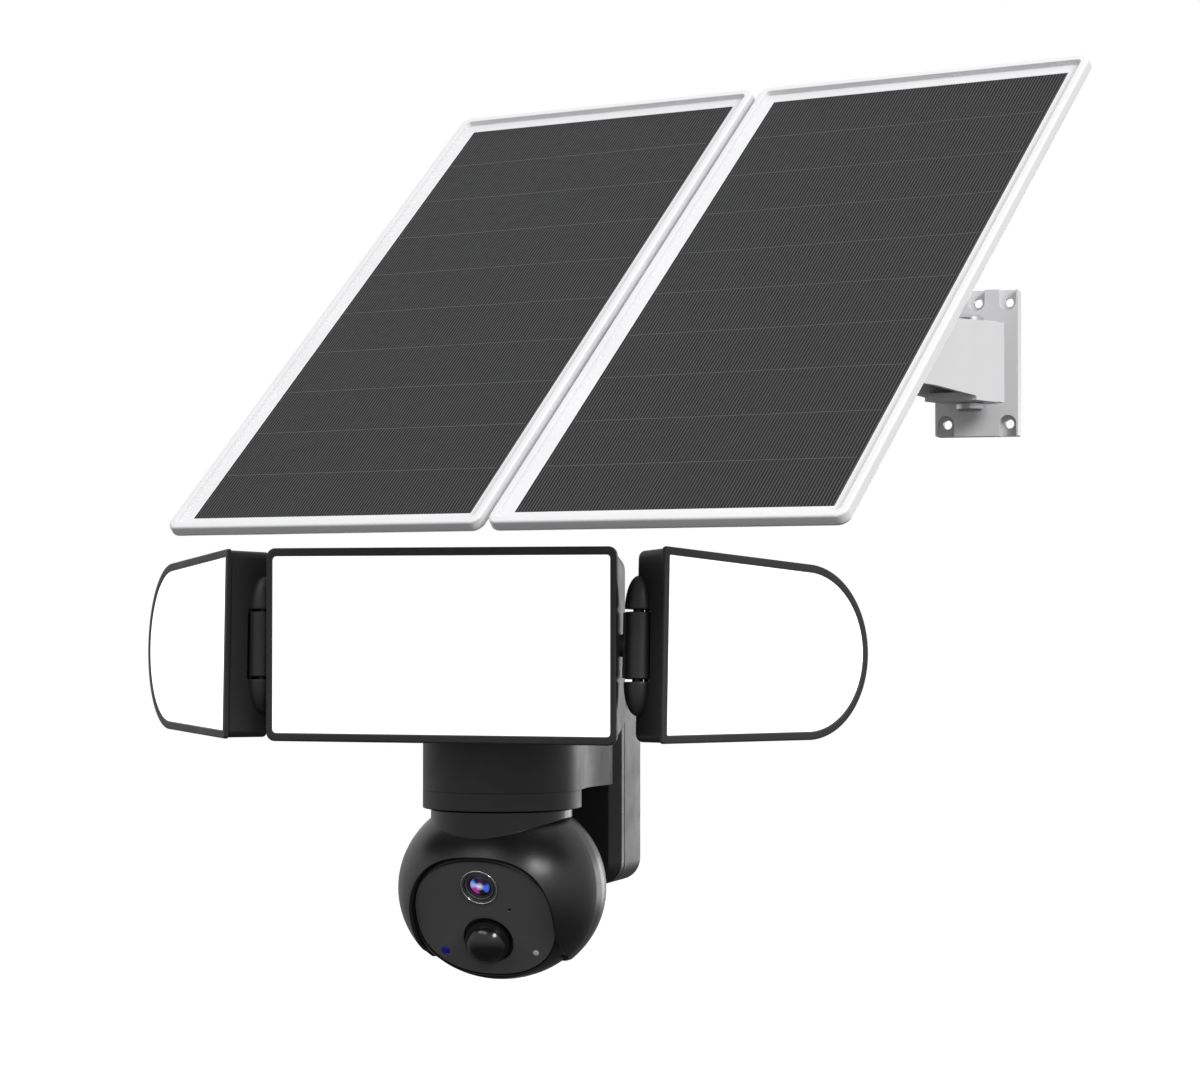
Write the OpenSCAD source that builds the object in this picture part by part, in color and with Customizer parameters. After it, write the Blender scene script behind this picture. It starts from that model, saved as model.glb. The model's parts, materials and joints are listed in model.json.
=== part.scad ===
// Wall-mounted floodlight camera with a pan and tilt camera ball and a pair of solar panels.
// Units are millimetres. The wall is the plane Y = 0, -Y points out of the wall and +Z is up.
// The origin is the centre of the camera unit's wall plate.

/* [Wall box] */
// Width of the wall box
box_w = 80; // [78:1:90]
// Height of the wall box
box_h = 94; // [92:1:104]
// Depth of the wall box's rear shell
rear_d = 27; // [26:1:32]
// Depth of the wall box's front cover
cover_d = 10; // [9:1:14]
// Corner radius of the wall box
box_r = 11; // [9:0.5:12]
// Wall thickness of the plastic shells
wall = 2.4; // [2:0.1:2.6]
// Side of the square of wall screws, across
plate_screw_x = 36; // [32:1:38]
// Side of the square of wall screws, up
plate_screw_z = 50; // [46:1:52]

/* [Neck] */
// Radius of the neck housing
neck_r = 37.3; // [36:0.1:38]
// Distance from the wall to the pan axis
pan_y = 93; // [92:1:98]
// Height of the neck housing's top
neck_top = 44; // [42:1:46]
// Height of the seam between housing and cap
seam_z = 2; // [1:0.5:3]
// Height of the neck cap's lower rim
rim_z = -6.5; // [-8:0.5:-6]

/* [Camera ball] */
// Height of the tilt axis
ball_z = -44; // [-46:0.5:-43]
// Radius of the head about the tilt axis
head_r = 42.8; // [42:0.1:43]
// Half length of the head along the tilt axis
head_a = 47.3; // [47:0.1:48]
// Radial gap between the head and its hood
ball_gap = 0.5; // [0.4:0.1:0.7]
// Thickness of the hood
hood_t = 1.6; // [1.4:0.1:1.8]
// Angle that the face looks down at rest
face_down = 27; // [20:1:30]
// Distance from the tilt axis to the face
face_d = 27.5; // [27:0.5:28]
// Half width of the face
face_a = 34; // [33:0.1:34.2]
// Half height of the face
face_b = 30.6; // [30:0.1:30.8]
// Height of the lens above the centre of the face
lens_v = 17; // [16:0.5:17.5]
// Height of the motion sensor above the centre of the face
pir_v = -11.7; // [-12.5:0.1:-11]

/* [Lamps] */
// Width of the centre lamp
lamp_w = 166; // [160:1:166]
// Height of the centre lamp
lamp_h = 87.3; // [84:0.1:88]
// Depth of the centre lamp
lamp_d = 24; // [23:1:25]
// Height of the lamps' centre
lamp_z = 70.7; // [70:0.1:73]
// Width of the dark rim beside each lamp's light
rim_w = 2.8; // [2.4:0.1:3.2]
// Height of the dark rim above and below each lamp's light
rim_h = 3.6; // [2.8:0.1:4]
// Depth of the side lamps
side_d = 21.6; // [20:0.1:22]
// Length of the side lamps' straight part
side_l = 82; // [76:1:84]
// Length of the side lamps' rounded end
side_tip = 35.5; // [32:0.5:36]
// Height of a side lamp at its hinge
side_h = 86.5; // [84:0.5:87]
// Height of a side lamp where its rounded end starts
side_h2 = 79.3; // [76:0.1:80]
// Angle that the right lamp is swept back at rest
right_sweep = 53; // [40:1:60]
// Angle that the left lamp is swept back at rest
left_sweep = 47; // [40:1:60]
// Angle that the right lamp droops at rest
right_droop = 3.4; // [0:0.1:5]
// Angle that the left lamp droops at rest
left_droop = 2; // [0:0.1:5]

/* [Solar panels] */
// Width of one panel
panel_w = 167; // [160:1:168]
// Length of one panel up its slope
panel_l = 304; // [290:1:306]
// Thickness of a panel's frame
panel_t = 6; // [5.5:0.5:8]
// Gap between the two panels
panel_gap = 4; // [3:0.5:6]
// Width of the white frame around the cells
frame_w = 9; // [8:0.5:12]
// Slope of the panels from level
slope = 43; // [40:1:46]
// Angle that the arm is swung to the left at rest
swing = 16; // [10:1:18]
// Length of the bracket arm
arm_l = 162; // [155:1:170]
// Distance of the arm from the wall plate's pivot to the pair's centre, across
pair_off = 71.7; // [60:0.1:75]

/* [Hidden] */
$fn = 72;
eps = 0.01;
fit = 0.06;                          // radial clearance of every running shaft
ball_seg = 24;                       // rings of a ball
box_d = rear_d + cover_d;
case_screw = [31, 38];               // X and Z of the screws that hold the wall box together
post_r = 4.2;                        // radius of the screw posts inside the wall box
screw_r = 1.5;
port = [14, -14];                    // X and Y of the power button, and mirrored of the inlet
plate_t = 2.2;                       // thickness of the steel wall plate
cell_r = 9.1;                        // battery cells of the common 18 x 65 mm size
cell_l = 65;
board_y = -28;                       // back of the main board
neck_y = -pan_y;
lamp_front = -180;                   // plane of the centre lamp's light
lamp_back = lamp_front + lamp_d;
tilt_pin = [-140, 62];               // Y and Z of the centre lamp's tilt pin
pin_r = 3;
lug_r = 8;                           // round end of the lamp's lug and of the bracket's ears
lug_w = 12;
ear_t = 5;
ear_x = 9;                           // middle of each ear
lamp_screw = [60, 28];               // X and Z of the centre lamp's board screws
led_step = 13;
link_y = -168;                       // Y of the twist axis and of the side lamps' pins
link_x = 89.5;                       // X of the side lamps' pins
neck_x = 83.4;                       // inner end of a link's neck, clear of the centre lamp
boss_r = 7.4;                        // bosses inside the centre lamp for the links' shafts
boss_x = [71.8, 80.5];
side_pin_r = 2.5;
side_pin_l = 50;
barrel_r = 6.15;
barrel_h = 29.5;
slot_h = 32.2;
slot_r = 7.3;
lobe_r = 6.5;
lobe_h = 62;
dome_r = 75;                         // the lobes are the ends of a shallow dome of this radius
twist_r = 5;
side_face = 17.7;                    // from a side lamp's pin to its light
side_edge = 0.8;                     // from a side lamp's pin to its hinge edge
hood_r = head_r + ball_gap + hood_t;
hood_a = head_a + ball_gap + hood_t;
ear_drop = 33;                       // from the tilt axis down to the tips of the hood's ears
dome_z = 1;                          // top of the yoke's dome, inside the neck cap
cap_floor_z = dome_z + 0.6;          // underside of the neck cap's plate
gear_z = cap_floor_z + wall + 0.6;
gear_h = 4;
card_x = 14;                         // place of the card cover under the head
card_floor = -39.6;
oval_power = 2.3;                    // 2 is an ellipse, more is squarer
gear_m = 0.8;                        // tooth size, pitch diameter per tooth
pan_teeth = 40;
pan_pinion_teeth = 12;
tilt_teeth = 24;
tilt_pinion_teeth = 10;
pan_reach = gear_m * (pan_teeth + pan_pinion_teeth) / 2;
tilt_reach = gear_m * (tilt_teeth + tilt_pinion_teeth) / 2;
spindle_r = 9;
cable_r = 6;                         // cable way through the pan spindle
bush_r = 14;
motor_r = 12;
head_wall = 3;
stub_r = 4;                          // steel shafts of the tilt axis
status = [22.3, -18];                // place of the two status lights on the face
mic = [12.8, 5];
seat = 2.3;                          // thickness of the face plate, and depth of its seat
dome_ball = 10.6;                    // radius of the motion sensor's lens
gear_x = 27;                         // place of the tilt gears along the tilt axis
card_size = [13, 9];
pivot = [210, -25, 203];             // swivel axis of the bracket arm
arm_end_z = 201;
plate_w = 40;
plate_h = 70;
plate_d = 9;                         // thickness of the solar unit's wall plate
stud_hole = [15, 29];                // X and Z of its screws from its centre
pocket_r = 4;
pocket_floor = -4;
bolt_r = 4;
bolt_head = 6.5;
arm_w = 27;
flange_r = 13.5;
lip_w = 3.4;                         // raised lip of a panel's frame
lip_h = 2.6;
sheet_t = 0.8;                       // clear sheet over the cells, from lip to lip
back_t = 1.6;                        // floor of the frame behind the cells
axis_to_face = 34.3;                 // from the panels' tilt axis to their front
axis_up = 0.2;

// ---- shared shapes ----

// Flat plate with rounded corners, its width along X, its height along Z, from y0 back to y1
module slab(w, h, r, y0, y1) {
  translate([0, y1, 0]) rotate([90, 0, 0]) linear_extrude(y1 - y0) rounded(w, h, r);
}

module rounded(w, h, r) {
  union() {
    square([w - 2 * r, h], center = true);
    square([w, h - 2 * r], center = true);
    for (x = [-1, 1], z = [-1, 1]) translate([x * (w / 2 - r), z * (h / 2 - r)]) circle(r);
  }
}

// Casing whose back is smaller than its front
module tapered(w, h, r, y0, y1, taper) {
  hull() {
    slab(w, h, r, y0, y0 + 3, $fn = 32);
    slab(w - 2 * taper, h - 2 * taper, r, y1 - 1, y1, $fn = 32);
  }
}

// Rods along each axis, starting at the given point
module rod_y(x, z, r, y0, y1) { translate([x, y1, z]) rotate([90, 0, 0]) cylinder(h = y1 - y0, r = r); }
module rod_x(y, z, r, x0, x1) { translate([x0, y, z]) rotate([0, 90, 0]) cylinder(h = x1 - x0, r = r); }
module rod_z(x, y, r, z0, z1) { translate([x, y, z0]) cylinder(h = z1 - z0, r = r); }

// Both sides of something drawn on the right
module mirrored() { for (m = [0, 1]) mirror([m, 0, 0]) children(); }

// Ball of revolution about X: half length a, radius b
module ball(a, b) {
  rotate([0, 90, 0]) rotate_extrude($fn = 96)
    polygon([for (i = [0:ball_seg]) let (t = 180 * i / ball_seg) [b * sin(t), a * cos(t)]]);
}

// Outline between an ellipse and a rectangle: flat at the top and bottom, round at the sides
function bulge(c) = sign(c) * pow(abs(c), 2 / oval_power);
function oval(a, b, n = 64) =
  [for (i = [0:n - 1]) [a * bulge(cos(360 * i / n)), b * bulge(sin(360 * i / n))]];

module oval_slab(a, b, y0, y1) {
  translate([0, y1, 0]) rotate([90, 0, 0]) linear_extrude(y1 - y0) polygon(oval(a, b));
}

// Spur gear about Z with narrow teeth, a tooth at angle 0
module gear(teeth, h, bore) {
  pitch = gear_m * teeth / 2;
  root = pitch - 0.85 * gear_m;
  tip = pitch + 0.7 * gear_m;
  difference() {
    union() {
      cylinder(h = h, r = root);
      for (i = [0:teeth - 1]) rotate([0, 0, 360 * i / teeth]) linear_extrude(h)
        polygon([[root - 0.3, -0.8 * gear_m], [tip, -0.32 * gear_m],
          [tip, 0.32 * gear_m], [root - 0.3, 0.8 * gear_m]]);
    }
    translate([0, 0, -1]) cylinder(h = h + 2, r = bore);
  }
}

// ---- wall box ----

module at_case_screws() {
  for (x = [-1, 1], z = [-1, 1]) translate([x * case_screw[0], 0, z * case_screw[1]]) children();
}

module at_plate_screws() {
  for (x = [-1, 1], z = [-1, 1]) translate([x * plate_screw_x / 2, 0, z * plate_screw_z / 2]) children();
}

module mount_plate() {
  color("silver") difference() {
    slab(50, 66, 6, -plate_t, 0);
    at_plate_screws() rod_y(0, 0, 2.4, -4, 1);
  }
}

module rear_shell() {
  color("#2b2b2d") difference() {
    union() {
      difference() {
        slab(box_w, box_h, box_r, -rear_d, 0);
        slab(box_w - 2 * wall, box_h - 2 * wall, box_r - wall, -rear_d - 1, -plate_t - 0.2 - wall);
      }
      at_case_screws() rod_y(0, 0, post_r, -rear_d, -1);
    }
    slab(50.4, 66.4, 6.2, -plate_t - 0.2, 1);
    at_plate_screws() rod_y(0, 0, 5, -6, 0);
    at_case_screws() rod_y(0, 0, screw_r + 0.1, -rear_d - 1, 1);
    at_case_screws() rod_y(0, 0, 3, -3, 1);
    rod_z(-port[0], port[1], 5, -box_h / 2 - 1, -box_h / 2 + 4);
    rod_z(port[0], port[1], 4.1, -box_h / 2 - 1, -box_h / 2 + 4);
  }
}

module front_cover() {
  color("#262628") difference() {
    union() {
      difference() {
        hull() {
          slab(box_w, box_h, box_r, -rear_d - 5, -rear_d, $fn = 32);
          slab(box_w - 10, box_h - 10, box_r - 5, -box_d, -box_d + 1, $fn = 32);
        }
        slab(box_w - 14, box_h - 14, box_r - 6, -box_d + wall, -rear_d + 1);
      }
      at_case_screws() rod_y(0, 0, post_r, -box_d + wall - eps, -rear_d);
    }
    at_case_screws() rod_y(0, 0, screw_r, -rear_d - 7, -rear_d + 1);
    rod_y(0, neck_top / 2 + 1, 8, -box_d - 1, -box_d + wall + 1);
  }
}

module case_screws() {
  color("dimgray") at_case_screws() {
    rod_y(0, 0, screw_r, -rear_d - 6, -2.5);
    rod_y(0, 0, 2.8, -3, -0.8);
  }
}

module battery_cells() {
  color("royalblue") for (x = [-19.5, 0, 19.5]) rod_z(x, -14.4, cell_r, -cell_l / 2, cell_l / 2);
}

module main_board() {
  color("darkgreen") slab(58, 70, 2, board_y - 1.6, board_y);
  color("#222222") for (p = [[-14, 18, 14], [12, 22, 9], [10, -14, 16], [-18, -20, 8]])
    translate([p[0], 0, p[1]]) slab(p[2], p[2], 0.5, board_y - 3.4, board_y - 1.6);
}

module charge_inlet() {
  color("#333333") difference() {
    rod_z(-port[0], port[1], 5, -box_h / 2 - 0.6, -box_h / 2 + 11);
    rod_z(-port[0], port[1], 2.8, -box_h / 2 - 1, -box_h / 2 + 9);
  }
}

module power_button() {
  color("#3c3c40") {
    rod_z(port[0], port[1], 4, -box_h / 2 - 1.2, -box_h / 2 + 2.6);
    rod_z(port[0], port[1], 5.4, -box_h / 2 + 2.6, -box_h / 2 + 3.6);
  }
}

// ---- neck ----

module neck_outline(inset) {
  union() {
    translate([0, neck_y]) circle(neck_r - inset);
    translate([-neck_r + inset, neck_y]) square([2 * (neck_r - inset), pan_y - box_d - inset]);
  }
}

module neck_housing() {
  color("#252527") difference() {
    union() {
      difference() {
        translate([0, 0, seam_z]) linear_extrude(neck_top - seam_z) neck_outline(0);
        translate([0, 0, seam_z + wall]) linear_extrude(neck_top - seam_z - 2 * wall) neck_outline(wall);
        rod_z(0, neck_y, neck_r - wall, seam_z - 1, seam_z + wall + 1);
      }
      rod_z(0, neck_y + pan_reach, motor_r + 1, 30, neck_top - wall + eps);
    }
    rod_y(0, neck_top / 2 + 1, 8, -box_d - wall - 1, -box_d + 1);
  }
}

module neck_cap() {
  color("#232325") difference() {
    union() {
      rod_z(0, neck_y, neck_r, rim_z, seam_z);
      rod_z(0, neck_y, neck_r - wall - 0.1, seam_z - eps, cap_floor_z + wall);
    }
    rod_z(0, neck_y, 30, rim_z - 1, cap_floor_z);
    rod_z(0, neck_y, bush_r, rim_z, cap_floor_z + wall + 1);
  }
}

module pan_bush() {
  color("ivory") difference() {
    rod_z(0, neck_y, bush_r, cap_floor_z, cap_floor_z + wall);
    rod_z(0, neck_y, spindle_r + fit, cap_floor_z - 1, cap_floor_z + wall + 1);
  }
}

module pan_motor() {
  color("lightgray") difference() {
    union() {
      rod_z(0, neck_y + pan_reach, motor_r, 12, 30);
      translate([0, neck_y + pan_reach, 28.5]) cube([34, 7, 1.4], center = true);
    }
    rod_z(0, neck_y + pan_reach, 1.5 + fit, 11, 24);
  }
}

module pan_pinion() {
  color("goldenrod") translate([0, neck_y + pan_reach, gear_z])
    rotate([0, 0, -90 + 180 / pan_pinion_teeth]) gear(pan_pinion_teeth, gear_h, 1.4);
  color("silver") rod_z(0, neck_y + pan_reach, 1.5, gear_z, 22);
}

module lamp_bracket() {
  color("#2a2a2c") difference() {
    union() {
      for (s = [-1, 1]) translate([s * ear_x - ear_t / 2, 0, 0]) rotate([90, 0, 90]) linear_extrude(ear_t) {
        translate(tilt_pin) circle(lug_r);
        polygon([[-147.4, 59], [-129, neck_top], [-98, neck_top], [-98, 49], [-116, 52], [-134, 67.3]]);
      }
      translate([-18, -129, neck_top]) cube([36, 32, 4]);
    }
    rod_x(tilt_pin[0], tilt_pin[1], pin_r, -20, 20);
  }
}

module lamp_pivot_pin() {
  color("silver") {
    rod_x(tilt_pin[0], tilt_pin[1], pin_r, -11.5, 13.5);
    rod_x(tilt_pin[0], tilt_pin[1], 5.5, -13.5, -11.5);
    rod_x(tilt_pin[0], tilt_pin[1], 5.5, 11.5, 15.5);
  }
}

// ---- centre lamp ----

module at_lamp() { translate([0, 0, lamp_z]) children(); }

module at_lamp_screws() {
  for (x = [-1, 1], z = [-1, 1]) translate([x * lamp_screw[0], 0, z * lamp_screw[1]]) children();
}

module led() { cube([3.5, 0.8, 2.8], center = true); }

module centre_casing() {
  color("#222224") difference() {
    union() {
      difference() {
        at_lamp() tapered(lamp_w, lamp_h, 4, lamp_front, lamp_back, 3);
        at_lamp() slab(lamp_w - 2 * rim_w, lamp_h - 2 * rim_h, 2, lamp_front - 1, lamp_front + 4.2);
        at_lamp() tapered(lamp_w - 11, lamp_h - 11, 2, lamp_front + 4, lamp_back - wall, 1);
      }
      at_lamp() mirrored() rod_x(link_y, 0, boss_r, boss_x[0], boss_x[1]);
      at_lamp() at_lamp_screws() rod_y(0, 0, 3, lamp_back - 6, lamp_back - 1);
      translate([-lug_w / 2, 0, 0]) rotate([90, 0, 90]) linear_extrude(lug_w) {
        translate(tilt_pin) circle(lug_r);
        polygon([[lamp_back - 1, 48], [-142, 54.4], [-138, 69.6], [lamp_back - 1, 76]]);
      }
    }
    rod_x(tilt_pin[0], tilt_pin[1], pin_r + fit, -20, 20);
    at_lamp() mirrored() rod_x(link_y, 0, twist_r + fit, 70, 90);
  }
}

module centre_diffuser() {
  color("white") at_lamp()
    slab(lamp_w - 2 * rim_w - 0.4, lamp_h - 2 * rim_h - 0.4, 1.8, lamp_front + 0.3, lamp_front + 3);
}

module centre_gasket() {
  color("#555555") at_lamp() difference() {
    slab(lamp_w - 2 * rim_w - 0.4, lamp_h - 2 * rim_h - 0.4, 1.8, lamp_front + 3, lamp_front + 4.2);
    slab(lamp_w - 2 * rim_w - 5, lamp_h - 2 * rim_h - 5, 1, lamp_front + 2, lamp_front + 5);
  }
}

module centre_board() {
  color("white") at_lamp() difference() {
    slab(136, 66, 2, lamp_back - 7.6, lamp_back - 6);
    at_lamp_screws() rod_y(0, 0, screw_r, lamp_back - 9, lamp_back - 5);
  }
}

module centre_leds() {
  color("khaki") at_lamp() for (i = [-4.5:4.5], j = [-2:2])
    translate([i * led_step, lamp_back - 8, j * led_step]) led();
}

// ---- side lamps: drawn as the right one, with the pin along Z through the origin ----

module at_link(side) {
  droop = side > 0 ? right_droop : left_droop;
  translate([0, link_y, lamp_z]) rotate([-droop, 0, 0]) mirror([side > 0 ? 0 : 1, 0, 0]) children();
}

module at_side(side) {
  sweep = side > 0 ? right_sweep : left_sweep;
  at_link(side) translate([link_x, 0, 0]) rotate([0, 0, sweep]) children();
}

// Outline of a side lamp, moved inwards by inset, and by lower at the top and the bottom
function side_outline(inset, lower) = concat(
  [[side_edge + inset, -side_h / 2 + lower]],
  [for (i = [0:24]) let (t = -90 + 180 * i / 24)
    [side_l + (side_tip - inset) * cos(t), (side_h2 / 2 - lower) * sin(t)]],
  [[side_edge + inset, side_h / 2 - lower]]);

module side_slab(inset, lower, y0, y1) {
  translate([0, y1, 0]) rotate([90, 0, 0]) linear_extrude(y1 - y0) polygon(side_outline(inset, lower));
}

module link(side) {
  color("#2a2a2c") at_link(side) difference() {
    union() {
      rod_z(link_x, 0, barrel_r, -barrel_h / 2, barrel_h / 2);
      translate([neck_x, -4, -barrel_h / 2]) cube([link_x - neck_x, 8, barrel_h]);
      rod_x(0, 0, twist_r, 70, neck_x + 1.6);
      rod_x(0, 0, 7, 70, 71.6);
    }
    rod_z(link_x, 0, side_pin_r + fit, -barrel_h, barrel_h);
  }
}

module side_casing(side) {
  back = side_d - side_face;
  color("#222224") at_side(side) difference() {
    union() {
      difference() {
        side_slab(0, 0, -side_face, back);
        side_slab(rim_w, rim_h, -side_face - 1, -side_face + 4.2);
        difference() {
          side_slab(5.5, 6.2, -side_face + 4, back - wall);
          rod_z(0, 0, slot_r + 2, -slot_h / 2 - 2, slot_h / 2 + 2);
        }
      }
      intersection() {
        side_slab(1, 1, -side_face + 4.4, back);
        rod_z(0, 0, slot_r + 2, -slot_h / 2 - 2, slot_h / 2 + 2);
      }
      intersection() {
        rod_z(0, 0, lobe_r, -lobe_h / 2, lobe_h / 2);
        translate([dome_r - slot_r, 0, 0]) sphere(dome_r, $fn = 128);
      }
    }
    rod_z(0, 0, slot_r, -slot_h / 2, slot_h / 2);
    rod_z(0, 0, side_pin_r, -side_pin_l / 2, side_pin_l / 2);
  }
}

module side_diffuser(side) {
  color("white") at_side(side)
    side_slab(rim_w + 0.2, rim_h + 0.2, -side_face + 0.3, -side_face + 3);
}

module side_board(side) {
  color("white") at_side(side) intersection() {
    side_slab(9, 9, -6.2, -4.6);
    translate([12, -7, -40]) cube([110, 4, 80]);
  }
}

module side_leds(side) {
  color("khaki") at_side(side) for (i = [1:6], j = [-1.5:1.5])
    translate([8 + i * led_step, -6.6, j * led_step]) led();
}

module side_pin(side) {
  color("silver") at_side(side) rod_z(0, 0, side_pin_r, -side_pin_l / 2, side_pin_l / 2);
}

// ---- camera ball ----

module at_ball() { translate([0, neck_y, ball_z]) children(); }
module at_head() { at_ball() rotate([face_down, 0, 0]) children(); }

// Opening of the hood: round above the face, straight below it, and open under the ear tips
module hood_opening() {
  half = face_a + 1.3;
  rotate([face_down, 0, 0]) rotate([90, 0, 0]) linear_extrude(hood_r + 5)
    polygon(concat([for (i = [0:24]) [half * bulge(cos(7.5 * i)), (face_b + 3.3) * bulge(sin(7.5 * i))]],
      [[-half, -60], [half, -60]]));
  translate([-60, -60, -60]) cube([120, 120, 60 - ear_drop]);
}

module yoke_hood() {
  color("#1f1f21") difference() {
    union() {
      intersection() {
        at_ball() ball(hood_a, hood_r);
        translate([-60, neck_y - 60, ball_z - 60]) cube([120, 120, 60 + dome_z - ball_z]);
      }
      rod_z(0, neck_y, 33, ball_z, rim_z - 0.3);
      rod_z(0, neck_y, 10, rim_z, dome_z);
    }
    at_ball() ball(head_a + ball_gap, head_r + ball_gap);
    at_ball() hood_opening();
    rod_z(0, neck_y, cable_r, ball_z, dome_z + 1);
    at_ball() rod_x(0, 0, stub_r, -hood_a + 0.8, hood_a - 0.8);
  }
}

module pan_spindle() {
  color("silver") difference() {
    rod_z(0, neck_y, spindle_r, dome_z, gear_z + gear_h);
    rod_z(0, neck_y, cable_r, dome_z - 1, gear_z + gear_h + 1);
  }
}

module pan_gear() {
  color("goldenrod") translate([0, neck_y, gear_z])
    rotate([0, 0, 90]) gear(pan_teeth, gear_h, spindle_r + 0.02);
}

module tilt_stubs() {
  color("silver") at_ball() {
    rod_x(0, 0, stub_r, gear_x - 1, hood_a - 0.8);
    rod_x(0, 0, stub_r, -hood_a + 0.8, -38);
  }
}

module tilt_gear() {
  color("goldenrod") at_head() translate([gear_x, 0, 0]) rotate([90, 0, 90]) gear(tilt_teeth, gear_h, stub_r);
}

// Block under the head where the card cover sits, with its long faces a gap inside the pocket
module card_block(gap) {
  translate([card_x, 0, card_floor - 5]) cube([card_size[0] - gap, card_size[1] - gap, 10], center = true);
}

module head_shell() {
  color("#1d1d1f") difference() {
    at_ball() ball(head_a, head_r);
    at_ball() difference() {
      ball(head_a - head_wall, head_r - head_wall);
      mirrored() rod_x(0, 0, 7, 38, head_a);
      translate([card_x, 0, card_floor + 0.5]) cube([card_size[0] + 3, card_size[1] + 3, 3], center = true);
    }
    at_head() {
      translate([-60, -60, -60]) cube([120, 60 - face_d - 0.5, 120]);
      oval_slab(face_a, face_b, -50, -face_d + seat);
      oval_slab(face_a - 4, face_b - 4, -50, -20);
    }
    at_ball() rod_x(0, 0, stub_r + fit, -60, 60);
    at_ball() card_block(0);
  }
}

module face_plate() {
  color("#333335") at_head() difference() {
    oval_slab(face_a - 0.15, face_b - 0.15, -face_d, -face_d + seat);
    rod_y(0, lens_v, 9, -face_d - 1, -face_d + 4);
    rod_y(0, pir_v, 12, -face_d - 1, -face_d + 4);
    rod_y(mic[0], mic[1], 0.6, -face_d - 1, -face_d + 4);
    rod_y(-status[0], status[1], 2, -face_d - 1, -face_d + 4);
    rod_y(status[0], status[1], 1.5, -face_d - 1, -face_d + 4);
  }
}

module lens_ring() {
  color("silver") at_head() difference() {
    rod_y(0, lens_v, 9, -face_d - 0.6, -face_d + seat);
    rod_y(0, lens_v, 8.2, -face_d - 1, -face_d + 4);
  }
}

module lens_barrel() {
  color("black") at_head() difference() {
    rod_y(0, lens_v, 8.2, -face_d - 0.3, -11);
    rod_y(0, lens_v, 5, -face_d - 1, -14);
    rod_y(0, lens_v, 6.5, -face_d - 1, -face_d + 1.6);
  }
}

module lens_glass() {
  color("#303848") at_head() rod_y(0, lens_v, 6.4, -face_d + 0.2, -face_d + 1.6);
}

module motion_dome() {
  color("#161617") at_head() intersection() {
    union() {
      translate([0, -face_d - 0.6, pir_v]) sphere(dome_ball);
      rod_y(0, pir_v, dome_ball, -face_d - 0.6, -face_d + seat);
      rod_y(0, pir_v, 11.9, -face_d + 1.4, -face_d + seat);
    }
    rod_y(0, pir_v, 11.9, -60, -face_d + seat);
  }
}

module status_lights() {
  at_head() {
    color("blue") rod_y(-status[0], status[1], 2, -face_d - 0.3, -face_d + seat);
    color("lightgray") rod_y(status[0], status[1], 1.5, -face_d - 0.3, -face_d + seat);
  }
}

module sensor_board() {
  color("darkgreen") at_head() slab(34, 40, 2, -11, -9.4);
}

module speaker() {
  color("#888888") at_head() rod_y(-10, 0, 9, 20, 25);
}

module tilt_motor() {
  color("lightgray") at_head() difference() {
    union() {
      rod_x(tilt_reach, 0, 7, 4, 24);
      translate([14, tilt_reach, 0]) cube([10, 5, 17], center = true);
    }
    rod_x(tilt_reach, 0, 1.2 + fit, 12, 26);
  }
}

module tilt_pinion() {
  color("goldenrod") at_head() translate([gear_x, tilt_reach, 0])
    rotate([90, 0, 90]) rotate([0, 0, 180]) rotate([0, 0, 180 / tilt_pinion_teeth])
      gear(tilt_pinion_teeth, gear_h, 1.1);
  color("silver") at_head() rod_x(tilt_reach, 0, 1.2, 14, 31);
}

module card_cover() {
  color("#111112") at_ball() intersection() {
    ball(head_a, head_r);
    card_block(0.4);
  }
}

// ---- solar unit ----

// Thick wall plate with a lug for the arm. Its screws sit in pockets that are open at the edges
module bracket_plate() {
  stud = [[-1, -1], [1, -1], [-1, 1], [0, 1], [1, 1]];
  color("white") difference() {
    union() {
      translate([pivot[0], 0, pivot[2] + 1]) slab(plate_w, plate_h, 1, -plate_d, 0);
      translate([pivot[0] - 6, pivot[1], pivot[2] - 14.5]) cube([12, -pivot[1] - plate_d + 1, 29]);
      rod_z(pivot[0], pivot[1], 6, pivot[2] - 14.5, pivot[2] + 14.5);
    }
    rod_z(pivot[0], pivot[1], bolt_r, pivot[2] - 30, pivot[2] + 30);
    translate([pivot[0], 0, pivot[2] + 1])
      for (s = stud) translate([s[0] * stud_hole[0], 0, s[1] * stud_hole[1]]) {
        rod_y(0, 0, 2.2, -20, 1);
        rod_y(0, 0, pocket_r, -20, pocket_floor);
        translate([-pocket_r, -20, s[1] * 5 - 5]) cube([2 * pocket_r, 20 + pocket_floor, 10]);
      }
  }
}

module swivel_bolt() {
  color("silver") {
    rod_z(pivot[0], pivot[1], bolt_r, pivot[2] - 20, pivot[2] + 20);
    rod_z(pivot[0], pivot[1], bolt_head, pivot[2] + 19.3, pivot[2] + 22.5);
    rod_z(pivot[0], pivot[1], bolt_head, pivot[2] - 23, pivot[2] - 19.3);
  }
}

// Frame of the bracket arm: origin on the swivel axis, the arm along -Y
module at_arm() { translate(pivot) rotate([0, 0, -swing]) children(); }

module arm_side() {
  polygon([[9, 19], [9, -19], [-60, -14.5], [-(arm_l - 24), -13], [-(arm_l - 24), 8.5], [-60, 17]]);
}

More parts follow.
